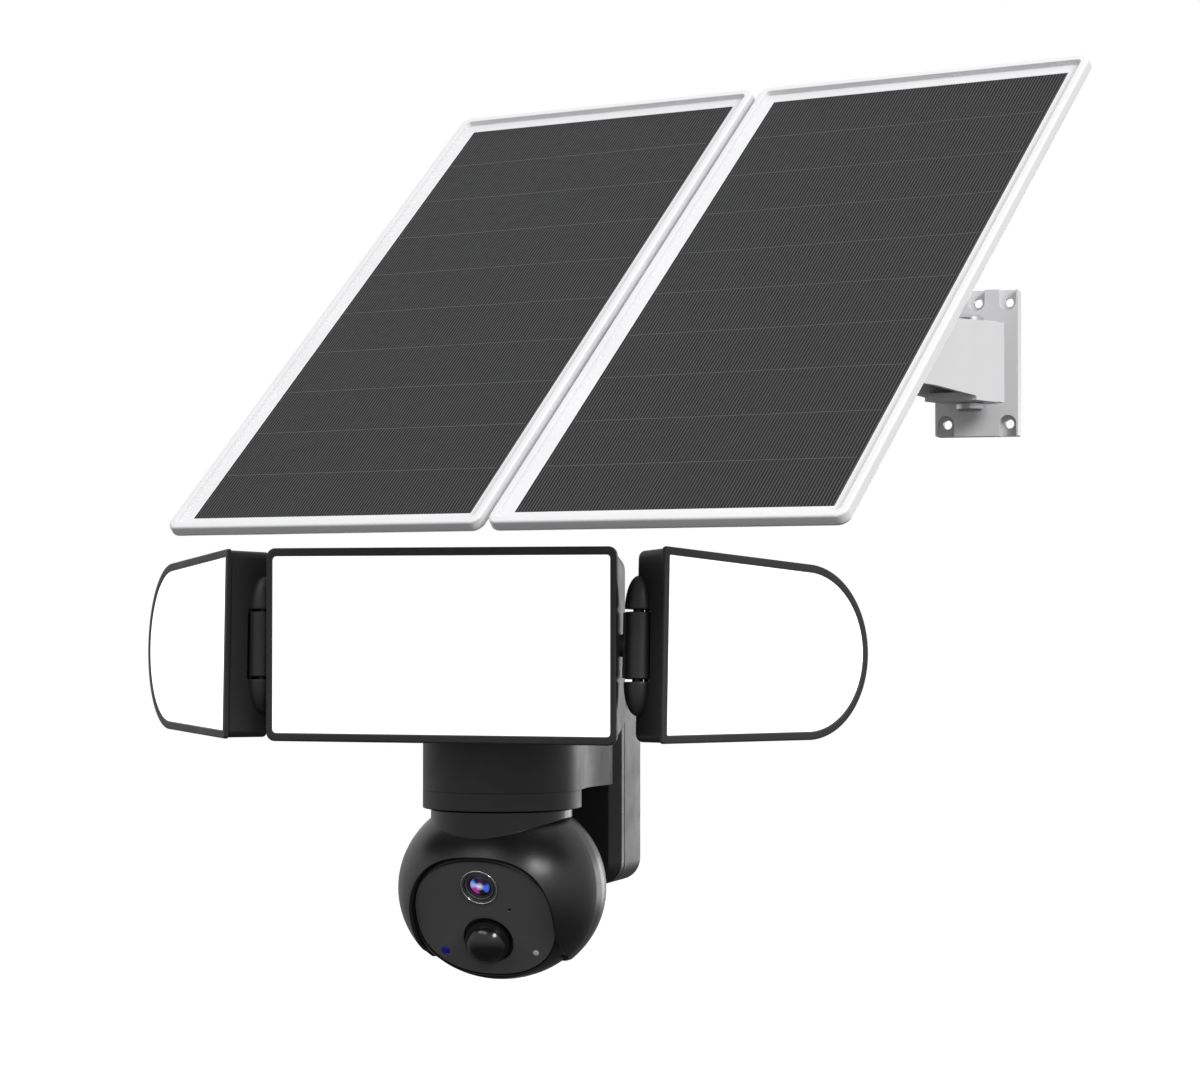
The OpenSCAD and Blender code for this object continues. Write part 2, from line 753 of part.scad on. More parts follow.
module bracket_arm() {
  drop = arm_end_z - pivot[2];
  color("white") at_arm() difference() {
    union() {
      difference() {
        translate([-arm_w / 2, 0, 0]) rotate([90, 0, 90]) linear_extrude(arm_w) arm_side();
        translate([-11, -arm_l, -30]) cube([22, 2 * arm_l, 30 + 15.2]);
      }
      rod_z(0, 0, flange_r, 15.2, 19);
      translate([-arm_w / 2, -20, -19]) cube([arm_w, 20, 3.8]);
      rod_z(0, 0, flange_r, -19, -15.2);
      translate([-arm_w / 2, -arm_l + 20, drop - 10.5]) cube([arm_w, 10, 19]);
      translate([-7.8, -arm_l, drop - 9]) cube([15.6, 26, 18]);
      rod_x(-arm_l, drop, 9, -7.8, 7.8);
    }
    rod_z(0, 0, bolt_r + fit, -30, 30);
    rod_x(-arm_l, drop, bolt_r + fit, -20, 20);
  }
}

// Frame of the tilt axis: along X through the origin, level
module at_tilt() { at_arm() translate([0, -arm_l, arm_end_z - pivot[2]]) children(); }

// Frame of the panel pair: centre of the front, width along X, slope along Y, outward along Z
module at_panels() {
  at_tilt() rotate([slope, 0, 0]) translate([-pair_off, -axis_up, axis_to_face]) children();
}

module at_panel(side) {
  at_panels() translate([side * (panel_w + panel_gap) / 2, 0, 0]) children();
}

module tilt_bolt() {
  color("silver") at_tilt() {
    rod_x(0, 0, bolt_r, -15, 15);
    rod_x(0, 0, bolt_head, -17.5, -13);
  }
  color("#f0f0f0") at_tilt() {
    rod_x(0, 0, 10, 13, 22);
    translate([14.5, -2.5, -15]) cube([6, 5, 30]);
  }
}

module panel_head() {
  color("white") at_tilt() difference() {
    union() {
      for (s = [-1, 1]) rotate([slope, 0, 0]) {
        rod_x(0, 0, 9, min(s * 8.2, s * 13), max(s * 8.2, s * 13));
        translate([s * 10.6 - 2.4, -9, 0]) cube([4.8, 18, axis_to_face - panel_t - 4]);
      }
      rotate([slope, 0, 0]) translate([-20, -18, axis_to_face - panel_t - 7]) cube([40, 36, 3]);
    }
    rod_x(0, 0, bolt_r, -20, 20);
  }
}

module panel_rail() {
  color("whitesmoke") at_panels() difference() {
    translate([-145, -18, -panel_t - 4]) cube([290, 36, 4]);
    for (x = [-130, -45, 45, 130]) translate([x, 0, -panel_t - 5]) cylinder(h = 6, r = 2.5);
  }
}

module junction_boxes() {
  color("#1e1e20") for (s = [-1, 1]) at_panel(s) translate([s * 35, 62, -panel_t]) {
    translate([-22, -15, -9]) cube([44, 30, 9]);
    translate([0, -22, -4.5]) rotate([-90, 0, 0]) cylinder(h = 8, r = 4);
  }
}

module panel_block(inset, z0, z1, r) {
  translate([0, 0, z0]) linear_extrude(z1 - z0) rounded(panel_w - 2 * inset, panel_l - 2 * inset, r);
}

module panel_frame(side) {
  color("white") at_panel(side) difference() {
    panel_block(0, -panel_t, 0, 5);
    panel_block(lip_w, -lip_h, 1, 3);
    panel_block(frame_w, -panel_t + back_t, 1, 1);
  }
}

module panel_cells(side) {
  color("#202226") at_panel(side) {
    panel_block(lip_w + 0.2, -lip_h, -lip_h + sheet_t, 2.8);
    panel_block(frame_w + 0.2, -panel_t + back_t + 0.2, -lip_h, 0.8);
  }
}

mount_plate();
rear_shell();
front_cover();
case_screws();
battery_cells();
main_board();
charge_inlet();
power_button();
neck_housing();
neck_cap();
pan_bush();
pan_motor();
pan_pinion();
lamp_bracket();
lamp_pivot_pin();
centre_casing();
centre_diffuser();
centre_gasket();
centre_board();
centre_leds();
link(1);  // right_link
side_casing(1);  // right_casing
side_diffuser(1);  // right_diffuser
side_board(1);  // right_board
side_leds(1);  // right_leds
side_pin(1);  // right_pin
link(-1);  // left_link
side_casing(-1);  // left_casing
side_diffuser(-1);  // left_diffuser
side_board(-1);  // left_board
side_leds(-1);  // left_leds
side_pin(-1);  // left_pin
yoke_hood();
pan_spindle();
pan_gear();
tilt_stubs();
tilt_gear();
head_shell();
face_plate();
lens_ring();
lens_barrel();
lens_glass();
motion_dome();
status_lights();
sensor_board();
speaker();
tilt_motor();
card_cover();
tilt_pinion();
bracket_plate();
swivel_bolt();
bracket_arm();
tilt_bolt();
panel_head();
panel_rail();
junction_boxes();
panel_frame(1);  // right_frame
panel_cells(1);  // right_cells
panel_frame(-1);  // left_frame
panel_cells(-1);  // left_cells
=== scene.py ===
"""Looks of the wall-mounted floodlight camera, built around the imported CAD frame.

Pieces are drawn in millimetres, each in the frame of the body that carries it. to_object turns
them into metres and finish_piece puts them in place.
"""
import json
import math

import bmesh
import bpy
from mathutils import Matrix, Vector


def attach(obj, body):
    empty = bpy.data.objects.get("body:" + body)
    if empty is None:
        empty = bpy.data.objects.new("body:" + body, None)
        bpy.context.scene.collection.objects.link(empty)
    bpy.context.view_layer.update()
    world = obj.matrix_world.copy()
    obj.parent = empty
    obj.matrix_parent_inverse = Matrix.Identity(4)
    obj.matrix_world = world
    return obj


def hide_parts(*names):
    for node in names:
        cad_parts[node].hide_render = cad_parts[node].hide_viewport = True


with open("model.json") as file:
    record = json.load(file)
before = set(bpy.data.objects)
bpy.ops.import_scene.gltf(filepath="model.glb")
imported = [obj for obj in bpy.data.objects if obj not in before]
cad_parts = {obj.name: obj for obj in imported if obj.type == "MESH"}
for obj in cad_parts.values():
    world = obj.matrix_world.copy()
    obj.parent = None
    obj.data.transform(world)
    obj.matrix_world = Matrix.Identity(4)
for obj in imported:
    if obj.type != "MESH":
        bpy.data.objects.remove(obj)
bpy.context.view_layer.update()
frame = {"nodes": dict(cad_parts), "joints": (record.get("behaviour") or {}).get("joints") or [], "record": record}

MM = 0.001
NODES = frame["nodes"]
JOINTS = {joint["name"]: joint for joint in frame["joints"]}
SLOT_OF = {part["node"]: part["material_slot"] for part in frame["record"]["subparts"]}

# ---- driving dimensions, in millimetres and degrees, as in the CAD source ----
WALL = 2.4
BOX_W, BOX_H, BOX_R = 80, 94, 11  # wall box: width, height, corner radius
REAR_D, COVER_D = 27, 10  # depths of its rear shell and its cover
CASE_SCREW = (31, 38)  # X and Z of the screws that hold the box together
PLATE_W, PLATE_H, PLATE_R, PLATE_T = 50, 66, 6, 2.2  # steel plate on its back
PLATE_SCREW = (18, 25)
PORT_X, PORT_Y = 14, -14  # power button on the underside, and mirrored the charging inlet
NECK_R, PAN_Y, NECK_TOP = 37.3, 93, 44  # neck: end radius, pan axis from the wall, top
SEAM_Z, RIM_Z = 2, -6.5  # seam between neck and cap, and the cap's lower rim
HEAD_A, HEAD_R, HEAD_WALL = 47.3, 42.8, 3  # ball: half width, radius about the tilt axis, wall
BALL_GAP, HOOD_T = 0.5, 1.6  # from the ball to its hood, and the hood's thickness
COLLAR_R, EAR_DROP = 33, 33  # hood: collar radius, and its ears' reach below the tilt axis
STEM_R, STEM_BORE, STEM_TOP = 10, 6, 45
FACE_DOWN, FACE_D, FACE_T = 27, 27.5, 2.3  # face plate: angle, distance from the centre, thickness
FACE_A, FACE_B, OVAL_POWER = 34.0, 30.6, 2.3  # its half axes; a power of 2 would be an ellipse
LENS_V, PIR_V, PIR_R = 17, -11.7, 10.6  # heights of lens and motion sensor, radius of its dome
GLASS_R = 5.0
MIC_PLACE = (12.8, 5)
LIGHT_U, LIGHT_V = 22.3, -18  # status lights
CARD_X, CARD_W, CARD_D = 14, 13, 9  # card cover under the head
LAMP_W, LAMP_H, LAMP_D, LAMP_FRONT = 166, 87.3, 24, -180  # centre lamp
LAMP_PIN_Y, LAMP_PIN_Z, LUG_R, LUG_W = -140, 62, 8, 12  # its tilt pin and the lug round it
RIM_W, RIM_H = 2.8, 3.6  # rims of the lamps: at the sides, and at top and bottom
SIDE_D, SIDE_FACE, SIDE_EDGE = 21.6, 17.7, 0.8  # side lamp: depth, from its pin to light and edge
SIDE_L, SIDE_TIP, SIDE_H, SIDE_H2 = 82, 35.5, 86.5, 79.3
SWEEP = {"right": 53, "left": 47}
DROOP = {"right": 3.4, "left": 2}
BARREL_R, BARREL_H, SLOT_R, SLOT_H = 6.15, 29.5, 7.3, 32.2  # hinge barrel and its slot
SIDE_PIN_R, SIDE_PIN_L, LOBE_H = 2.5, 50, 62
PANEL_W, PANEL_L, PANEL_T, PANEL_GAP = 167, 304, 6, 4
FRAME_W, LIP_W, LIP_H, SHEET_T = 9, 3.4, 2.6, 0.8
SLOPE, SWING = 43, 16  # of the solar panels and of their arm
PAIR_OFF, AXIS_TO_FACE, AXIS_UP = 71.7, 34.3, 0.2  # from the panels' tilt axis to their middle
BOLT_R, BOLT_HEAD = 4, 6.5

# ---- shapes that only the looks have, in millimetres and degrees ----
COLLAR_FRONT = 37  # the collar's reach to the front, where the CAD's is round
SHEET_SINK = 0.9  # the solar sheets lie this much deeper, so that the lip shows
NECK_HOLLOW = 3
ROUND_STEPS = 4  # pieces of a rounded edge
TIP = 0.05  # radius at which a turned end closes
SHARP_ANGLE = 32  # an edge that turns more than this is shaded sharp


# ---- frames, in metres ----

def turn(angle, axis):
    return Matrix.Rotation(math.radians(angle), 4, axis)


def shift(x, y, z):
    return Matrix.Translation(Vector((x, y, z)) * MM)


def joint_place(name):
    return Matrix.Translation(Vector(JOINTS[name]["pos_m"]))


WORLD_FRAME = Matrix.Identity(4)
BALL = joint_place("tilt")
HEAD = BALL @ turn(FACE_DOWN, "X")
LAMP_Z = JOINTS["right_twist"]["pos_m"][2] / MM
LAMP = shift(0, 0, LAMP_Z)
TILT = joint_place("panel_tilt") @ turn(-SWING, "Z")
PANELS = TILT @ turn(SLOPE, "X") @ shift(-PAIR_OFF, -AXIS_UP, AXIS_TO_FACE)


def link_frame(side):
    """Frame of a hinge link: origin on its pin, X pointing out from the centre lamp."""
    mirror = Matrix.Identity(4) if side == "right" else Matrix.Scale(-1, 4, (1, 0, 0))
    pin_x = abs(JOINTS[side + "_swing"]["pos_m"][0]) / MM
    twist = joint_place("right_twist")
    return twist @ turn(-DROOP[side], "X") @ mirror @ shift(pin_x, 0, 0)


def side_frame(side):
    """Frame of a side lamp: pin along Z through the origin, light facing -Y, hinge edge near X = 0."""
    return link_frame(side) @ turn(SWEEP[side], "Z")


def panel_frame(side):
    sign = 1 if side == "right" else -1
    return PANELS @ shift(sign * (PANEL_W + PANEL_GAP) / 2, 0, 0)


# ---- planar outlines and profiles ----

def fillet(points, closed=False, steps=5):
    """Rounds a polyline. Each point is (x, y, radius, ...extras); the extras are carried along."""
    out = []
    count = len(points)
    for i, point in enumerate(points):
        p, radius, extras = Vector(point[:2]), point[2], tuple(point[3:])
        ends = not closed and i in (0, count - 1)
        if radius <= 0 or ends:
            out.append((p.x, p.y) + extras)
            continue
        to_a = Vector(points[i - 1][:2]) - p
        to_b = Vector(points[(i + 1) % count][:2]) - p
        half = to_a.angle(to_b) / 2
        reach = min(radius / math.tan(half), 0.49 * to_a.length, 0.49 * to_b.length)
        radius = reach * math.tan(half)
        start, end = p + to_a.normalized() * reach, p + to_b.normalized() * reach
        middle = (to_a.normalized() + to_b.normalized()).normalized()
        centre = p + middle * radius / math.sin(half)
        a0 = math.atan2(start.y - centre.y, start.x - centre.x)
        sweep = math.atan2(end.y - centre.y, end.x - centre.x) - a0
        sweep = (sweep + math.pi) % math.tau - math.pi
        for k in range(steps + 1):
            a = a0 + sweep * k / steps
            out.append((centre.x + radius * math.cos(a), centre.y + radius * math.sin(a)) + extras)
    return out


def rounded_rect(w, h, r):
    corners = [(w / 2, h / 2, r), (-w / 2, h / 2, r), (-w / 2, -h / 2, r), (w / 2, -h / 2, r)]
    return fillet(corners, closed=True, steps=7)


def four(x, y):
    """The places at a distance x and y either side of the centre."""
    return [(sx * x, sy * y) for sx in (-1, 1) for sy in (-1, 1)]


def circle(radius, x, y, count):
    return [(x + radius * math.cos(math.tau * i / count), y + radius * math.sin(math.tau * i / count))
            for i in range(count)]


def oval_radius(angle, a, b):
    """Distance from the centre to the face's outline in a direction."""
    c, s = abs(math.cos(angle)) / a, abs(math.sin(angle)) / b
    return (c ** OVAL_POWER + s ** OVAL_POWER) ** (-1 / OVAL_POWER)


def oval(a, b):
    count = 128
    angles = [math.tau * i / count for i in range(count)]
    return [(oval_radius(t, a, b) * math.cos(t), oval_radius(t, a, b) * math.sin(t)) for t in angles]


def rim_rise(inset):
    """Upright inset that goes with a level one: the lamps' rims are wider at top and bottom."""
    return inset + (RIM_H - RIM_W) * min(inset / RIM_W, 1)


def side_outline(inset, r):
    """Outline of a side lamp: a long D with its hinge edge at the left."""
    hinge, tip, lower = SIDE_EDGE + inset, SIDE_TIP - inset, rim_rise(inset)
    steps = 40
    end = [(SIDE_L + tip * math.cos(t), (SIDE_H2 / 2 - lower) * math.sin(t), 0)
           for t in (math.pi * (k / steps - 0.5) for k in range(steps + 1))]
    low, high = (hinge, -SIDE_H / 2 + lower, r), (hinge, SIDE_H / 2 - lower, r)
    return fillet([low] + end + [high], closed=True)


def centre_outline(inset, r):
    return rounded_rect(LAMP_W - 2 * inset, LAMP_H - 2 * rim_rise(inset), r)


def neck_outline(inset, r):
    """Outline of the neck from above: a half round end, and hollow sides back to the wall box."""
    radius, steps, side_steps = NECK_R - inset, 48, 8
    back = -(REAR_D + COVER_D) - inset
    side = [(radius - NECK_HOLLOW * math.sin(math.pi * t) ** 2, back - (back + PAN_Y) * t, 0)
            for t in (k / side_steps for k in range(1, side_steps))]
    mirrored = [(-x, y, 0) for x, y, _ in side]
    round_end = [(radius * math.cos(t), -PAN_Y + radius * math.sin(t), 0)
                 for t in (math.pi * (1 + k / steps) for k in range(steps + 1))]
    corners = [(radius, back, r), (-radius, back, r)]
    return fillet(round_end + side[::-1] + corners + mirrored, closed=True)


def rect_outline(w, h):
    return lambda inset, r: rounded_rect(w - 2 * inset, h - 2 * inset, r)


def mitred(points, i, inset):
    """Corner i of a counter-clockwise polygon, moved inwards with its two edges."""
    p = Vector(points[i][:2])
    before = (p - Vector(points[i - 1][:2])).normalized()
    after = (Vector(points[(i + 1) % len(points)][:2]) - p).normalized()
    na, nb = Vector((-before.y, before.x)), Vector((-after.y, after.x))
    return p + (na + nb) * inset / (1 + na.dot(nb))


def offset(loop, inset):
    """Moves a counter-clockwise loop inwards."""
    return [tuple(mitred(loop, i, inset)) for i in range(len(loop))]


def polygon_outline(points):
    """Outline function of a counter-clockwise polygon of (x, y, corner radius)."""
    def outline(inset, r):
        moved = [(*mitred(points, i, inset), max(point[2] + r, 0.01)) for i, point in enumerate(points)]
        return fillet(moved, closed=True, steps=ROUND_STEPS)
    return outline


# ---- mesh building, in millimetres ----

def xz(u, v, d):
    return (u, d, v)


def xy(u, v, d):
    return (u, v, d)


def yz(u, v, d):
    return (d, u, v)


def xz_about(x, z):
    return lambda u, v, d: (x + u, d, z + v)


def add_rings(bm, rings, caps=(True, True), loop=False):
    """Skins rings of equal point counts with quads."""
    rows = [[bm.verts.new(p) for p in ring] for ring in rings]
    pairs = list(zip(rows, rows[1:]))
    if loop:
        pairs.append((rows[-1], rows[0]))
    for a, b in pairs:
        for i in range(len(a)):
            j = (i + 1) % len(a)
            bm.faces.new((a[i], a[j], b[j], b[i]))
    if not loop:
        for cap, row in zip(caps, (rows[0], rows[-1])):
            if cap:
                bm.faces.new(row)
    return rows


def sweep(bm, outline, profile, place, caps=(True, True)):
    """Skins an outline along a profile of (inset, depth, edge radius, corner radius)."""
    rings = [[place(u, v, depth) for u, v in outline(inset, corner)]
             for inset, depth, corner in fillet(profile, steps=ROUND_STEPS)]
    add_rings(bm, rings, caps)


def lathe(bm, profile, place=xz, centre=(0, 0), count=64, loop=False):
    """Turns a profile of (radius, depth, edge radius) about the depth axis."""
    rings = [[place(u, v, depth) for u, v in circle(radius, *centre, count)]
             for radius, depth in fillet(profile, steps=ROUND_STEPS)]
    add_rings(bm, rings, loop=loop)


def swept(*shape, **options):
    """A swept bmesh of its own."""
    bm = bmesh.new()
    sweep(bm, *shape, **options)
    return bm


def turned(*shape, **options):
    """A turned bmesh of its own."""
    bm = bmesh.new()
    lathe(bm, *shape, **options)
    return bm


def plate(outline, holes, d0, d1, edge, place):
    """Flat plate between two depths, with rounded edges and with holes. Loops are lists of (u, v)."""
    bm = bmesh.new()
    hole_edge = 0.3
    turns = (0, math.pi / 6, math.pi / 3, math.pi / 2)
    arc = [(edge * (1 - math.sin(t)), edge * (1 - math.cos(t))) for t in turns]
    first, last = [], []
    for number, loop in enumerate([outline] + holes):
        outer = number == 0
        size = edge if outer else hole_edge
        steps = [(a * size / edge, b * size / edge) for a, b in arc]
        walls = [(a, d0 + b) for a, b in steps] + [(a, d1 - b) for a, b in reversed(steps)]
        rings = [[place(u, v, depth) for u, v in offset(loop, inset if outer else -inset)]
                 for inset, depth in walls]
        rows = add_rings(bm, rings, caps=(False, False))
        for row, edges in ((rows[0], first), (rows[-1], last)):
            edges += [bm.edges.get((row[i - 1], row[i])) for i in range(len(row))]
    for edges in (first, last):
        bmesh.ops.triangle_fill(bm, use_beauty=True, edges=edges)
    return bm


def block(low, high, r, edge=0.4):
    """Box with rounded upright corners and rounded top and bottom edges."""
    w, h = high[0] - low[0], high[1] - low[1]
    cx, cy = (low[0] + high[0]) / 2, (low[1] + high[1]) / 2
    inner = 0.4 * min(w, h)

    def place(u, v, d):
        return (cx + u, cy + v, d)

    return swept(rect_outline(w, h), [(inner, low[2], 0, 0.01), (0, low[2], edge, r),
                                      (0, high[2], edge, r), (inner, high[2], 0, 0.01)], place)


def to_object(name, bm):
    bmesh.ops.remove_doubles(bm, verts=bm.verts, dist=0.0005)
    bmesh.ops.recalc_face_normals(bm, faces=bm.faces)
    bm.transform(Matrix.Scale(MM, 4))
    mesh = bpy.data.meshes.new(name)
    bm.to_mesh(mesh)
    bm.free()
    obj = bpy.data.objects.new(name, mesh)
    bpy.context.scene.collection.objects.link(obj)
    return obj


def baked(obj):
    """Replaces an object's mesh with what its modifiers make of it."""
    bpy.context.view_layer.update()
    depsgraph = bpy.context.evaluated_depsgraph_get()
    mesh = bpy.data.meshes.new_from_object(obj.evaluated_get(depsgraph))
    obj.modifiers.clear()
    obj.data = mesh
    return obj


def carve(obj, bm, operation="DIFFERENCE"):
    """Cuts a bmesh in millimetres out of an object, or joins it on with UNION."""
    cutter = to_object("cutter", bm)
    modifier = obj.modifiers.new("carve", "BOOLEAN")
    modifier.solver = "EXACT"
    modifier.operation = operation
    modifier.object = cutter
    baked(obj)
    bpy.data.objects.remove(cutter)


def soften(obj, width, angle=40):
    """Rounds the sharp edges that are left."""
    modifier = obj.modifiers.new("soften", "BEVEL")
    modifier.width = width * MM
    modifier.segments = 2
    modifier.limit_method = "ANGLE"
    modifier.angle_limit = math.radians(angle)
    modifier.use_clamp_overlap = True
    modifier.loop_slide = True
    return baked(obj)


def shade(obj, *materials):
    """Gives an object its materials, and smooth shading between its sharp edges."""
    obj.data.shade_smooth()
    obj.data.set_sharp_from_angle(angle=math.radians(SHARP_ANGLE))
    for name in materials:
        obj.data.materials.append(MATERIALS[name])


def finish_piece(obj, at, body, node, *materials, own_frame=False):
    """Shades a piece, puts it in place, lets it ride on its body and stand for its CAD node.

    A piece whose material is drawn along its own axes keeps its own frame; the others are put
    straight into the world's, where their boxes are tight.
    """
    if own_frame:
        obj.matrix_world = at
    else:
        obj.data.transform(at)
        if at.determinant() < 0:
            obj.data.flip_normals()
    shade(obj, *materials)
    normals = obj.modifiers.new("normals", "WEIGHTED_NORMAL")
    normals.keep_sharp = True
    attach(obj, body)
    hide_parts(node)


# ---- materials ----

# colour sockets of the Mix node, which share their names with those of its other data types
MIX_FACTOR, MIX_A, MIX_B, MIX_RESULT = 0, 6, 7, 2


class Shader:
    """A procedural material: a Principled shader and a few node helpers."""

    def __init__(self, name, colour, roughness, metallic=0.0):
        self.material = bpy.data.materials.new(name)
        self.material.use_nodes = True
        self.tree = self.material.node_tree
        self.bsdf = self.tree.nodes["Principled BSDF"]
        self.bsdf.inputs["Base Color"].default_value = (*colour, 1)
        self.bsdf.inputs["Roughness"].default_value = roughness
        self.bsdf.inputs["Metallic"].default_value = metallic
        self.coords = self.node("ShaderNodeTexCoord").outputs["Object"]

    def node(self, kind, **settings):
        made = self.tree.nodes.new(kind)
        for key, value in settings.items():
            setattr(made, key, value)
        return made

    def link(self, a, b):
        self.tree.links.new(a, b)

    def noise(self, scale, detail=2.0, stretch=(1, 1, 1)):
        mapping = self.node("ShaderNodeMapping")
        mapping.inputs["Scale"].default_value = stretch
        self.link(self.coords, mapping.inputs["Vector"])
        noise = self.node("ShaderNodeTexNoise")
        noise.inputs["Scale"].default_value = scale
        noise.inputs["Detail"].default_value = detail
        self.link(mapping.outputs["Vector"], noise.inputs["Vector"])
        return noise.outputs["Fac"]

    def ramp(self, factor, stops):
        ramp = self.node("ShaderNodeValToRGB")
        elements = ramp.color_ramp.elements
        while len(elements) < len(stops):
            elements.new(0.5)
        for element, (position, colour) in zip(elements, stops):
            element.position = position
            element.color = (*colour, 1)
        self.link(factor, ramp.inputs["Fac"])
        return ramp.outputs["Color"]

    def drift(self, noise, low, high):
        """Colour that drifts between two tones with a noise."""
        return self.ramp(noise, [(0.3, low), (0.7, high)])

    def spread(self, factor, low, high, from_low=0.3, from_high=0.7):
        spread = self.node("ShaderNodeMapRange")
        limits = {"From Min": from_low, "From Max": from_high, "To Min": low, "To Max": high}
        for key, value in limits.items():
            spread.inputs[key].default_value = value
        self.link(factor, spread.inputs["Value"])
        return spread.outputs["Result"]

    def maths(self, operation, a, b=None):
        maths = self.node("ShaderNodeMath", operation=operation)
        for socket, value in zip(maths.inputs, (a, b)):
            if value is None:
                continue
            if isinstance(value, (int, float)):
                socket.default_value = value
            else:
                self.link(value, socket)
        return maths.outputs["Value"]

    def mix(self, factor, a, b):
        mix = self.node("ShaderNodeMix", data_type="RGBA")
        self.link(factor, mix.inputs[MIX_FACTOR])
        for index, value in ((MIX_A, a), (MIX_B, b)):
            if isinstance(value, tuple):
                mix.inputs[index].default_value = (*value, 1)
            else:
                self.link(value, mix.inputs[index])
        return mix.outputs[MIX_RESULT]

    def axes(self):
        split = self.node("ShaderNodeSeparateXYZ")
        self.link(self.coords, split.inputs["Vector"])
        return split.outputs

    def bump(self, height, strength, distance):
        bump = self.node("ShaderNodeBump")
        bump.inputs["Strength"].default_value = strength
        bump.inputs["Distance"].default_value = distance * MM
        self.link(height, bump.inputs["Height"])
        self.link(bump.outputs["Normal"], self.bsdf.inputs["Normal"])

    def use(self, socket, value):
        self.link(value, self.bsdf.inputs[socket])


def tinted(colour, amount):
    return tuple(c * amount for c in colour)


def moulded(name, colour, roughness, grain=0.12, grain_size=0.35, vary=0.12, depth=0.05):
    """Moulded plastic: spark-eroded grain, faint flow marks, and gloss that changes with handling."""
    s = Shader(name, colour, roughness)
    flow = s.noise(28, 3)
    s.use("Base Color", s.drift(flow, tinted(colour, 1 - vary), tinted(colour, 1 + vary)))
    patches = s.maths("ADD", s.noise(60, 4), s.maths("MULTIPLY", s.noise(1200, 2), 0.3))
    s.use("Roughness", s.spread(patches, roughness - 0.05, roughness + 0.06, 0.4, 0.9))
    s.bump(s.noise(1000 / grain_size, 2), grain, depth)
    return s.material


def metal(name, colour, roughness, brush=(1, 1, 40), vary=0.1):
    """Metal with a fine grain, drawn into lines across the axis that brush scales most."""
    s = Shader(name, colour, roughness, metallic=1.0)
    lines = s.noise(400, 3, brush)
    s.use("Base Color", s.drift(lines, tinted(colour, 1 - vary), tinted(colour, 1 + vary)))
    s.use("Roughness", s.spread(lines, roughness - 0.06, roughness + 0.08))
    s.bump(lines, 0.15, 0.03)
    return s.material


def lit_opal(name):
    """Opal diffuser with the lamp on: white light with a faint moulded prism grain."""
    s = Shader(name, (0.95, 0.95, 0.94), 0.35)
    s.bsdf.inputs["Emission Strength"].default_value = 1.0
    s.use("Emission Color", s.drift(s.noise(25, 2), (0.985, 0.985, 0.98), (1.0, 1.0, 1.0)))
    s.bump(s.noise(2500, 1), 0.1, 0.03)
    return s.material


def solar_cells(name):
    """Dark cells under a matt sheet, with fine contact lines along the panel's length."""
    line_pitch = 1.5 * MM
    s = Shader(name, (0.02, 0.02, 0.021), 0.5)
    s.bsdf.inputs["Specular IOR Level"].default_value = 0.12
    wave = s.maths("SINE", s.maths("MULTIPLY", s.axes()["X"], math.tau / line_pitch))
    lines = s.spread(wave, 0, 1, 0.15, 0.85)
    mottle = s.drift(s.noise(120, 3), (0.0095, 0.0095, 0.01), (0.0125, 0.0125, 0.013))
    s.use("Base Color", s.mix(lines, mottle, (0.075, 0.075, 0.076)))
    s.use("Roughness", s.spread(s.noise(300, 2), 0.45, 0.55))
    s.bump(wave, 0.2, 0.04)
    return s.material


def painted_reflection_lens(name):
    """Lens element with painted reflections of its coatings in patches of blue, magenta and white and a painted
    white highlight in its middle, fixed to the glass; it glows with these colours as if lit.
    """
    s = Shader(name, (0.01, 0.012, 0.03), 0.06)
    axes = s.axes()
    x, z = axes["X"], axes["Z"]
    turned = s.maths("ADD", s.maths("DIVIDE", s.maths("ARCTAN2", z, x), math.tau), 0.5)
    black, blue, violet = (0.002, 0.002, 0.006), (0.06, 0.13, 0.75), (0.4, 0.03, 0.33)
    pale, white, plum = (0.35, 0.42, 0.85), (0.8, 0.75, 0.8), (0.05, 0.01, 0.08)
    # painted reflections: coating colours that change around the lens's axis
    painted_reflections = s.ramp(turned, [
        (0.0, pale), (0.06, violet), (0.17, violet), (0.24, black), (0.34, black), (0.38, blue),
        (0.5, blue), (0.58, black), (0.72, plum), (0.83, black), (0.88, blue), (0.94, pale)])
    distance = s.maths("SQRT", s.maths("ADD", s.maths("MULTIPLY", x, x), s.maths("MULTIPLY", z, z)))
    outwards = s.maths("DIVIDE", s.maths("DIVIDE", distance, MM), GLASS_R)
    # painted highlight: white in the middle of the glass, fading outwards; towards the glass's edge the colour
    # fades to black
    painted_highlight = s.ramp(outwards, [(0.0, (1, 1, 1)), (0.22, (0.5, 0.5, 0.5)), (0.45, (0, 0, 0))])
    rim = s.ramp(outwards, [(0.86, (1, 1, 1)), (0.97, (0, 0, 0))])
    colour = s.mix(rim, black, s.mix(painted_highlight, painted_reflections, white))
    s.use("Base Color", colour)
    # emission makes the painted reflections and highlight glow, though the lens is no lamp
    s.bsdf.inputs["Emission Strength"].default_value = 0.55
    s.use("Emission Color", colour)
    s.bsdf.inputs["Coat Weight"].default_value = 1.0
    s.bsdf.inputs["Coat Roughness"].default_value = 0.03
    s.bump(s.noise(200, 1), 0.02, 0.01)
    return s.material


def painted_board(name, colour):
    """Circuit board with faint tracks under its solder mask."""
    s = Shader(name, colour, 0.4)
    cracks = s.node("ShaderNodeTexVoronoi", feature="DISTANCE_TO_EDGE")
    cracks.inputs["Scale"].default_value = 220
    s.link(s.coords, cracks.inputs["Vector"])
    tracks = s.spread(cracks.outputs["Distance"], 1, 0, 0.03, 0.06)
    s.use("Base Color", s.mix(tracks, colour, tinted(colour, 1.25)))
    s.bump(tracks, 0.2, 0.03)
    return s.material


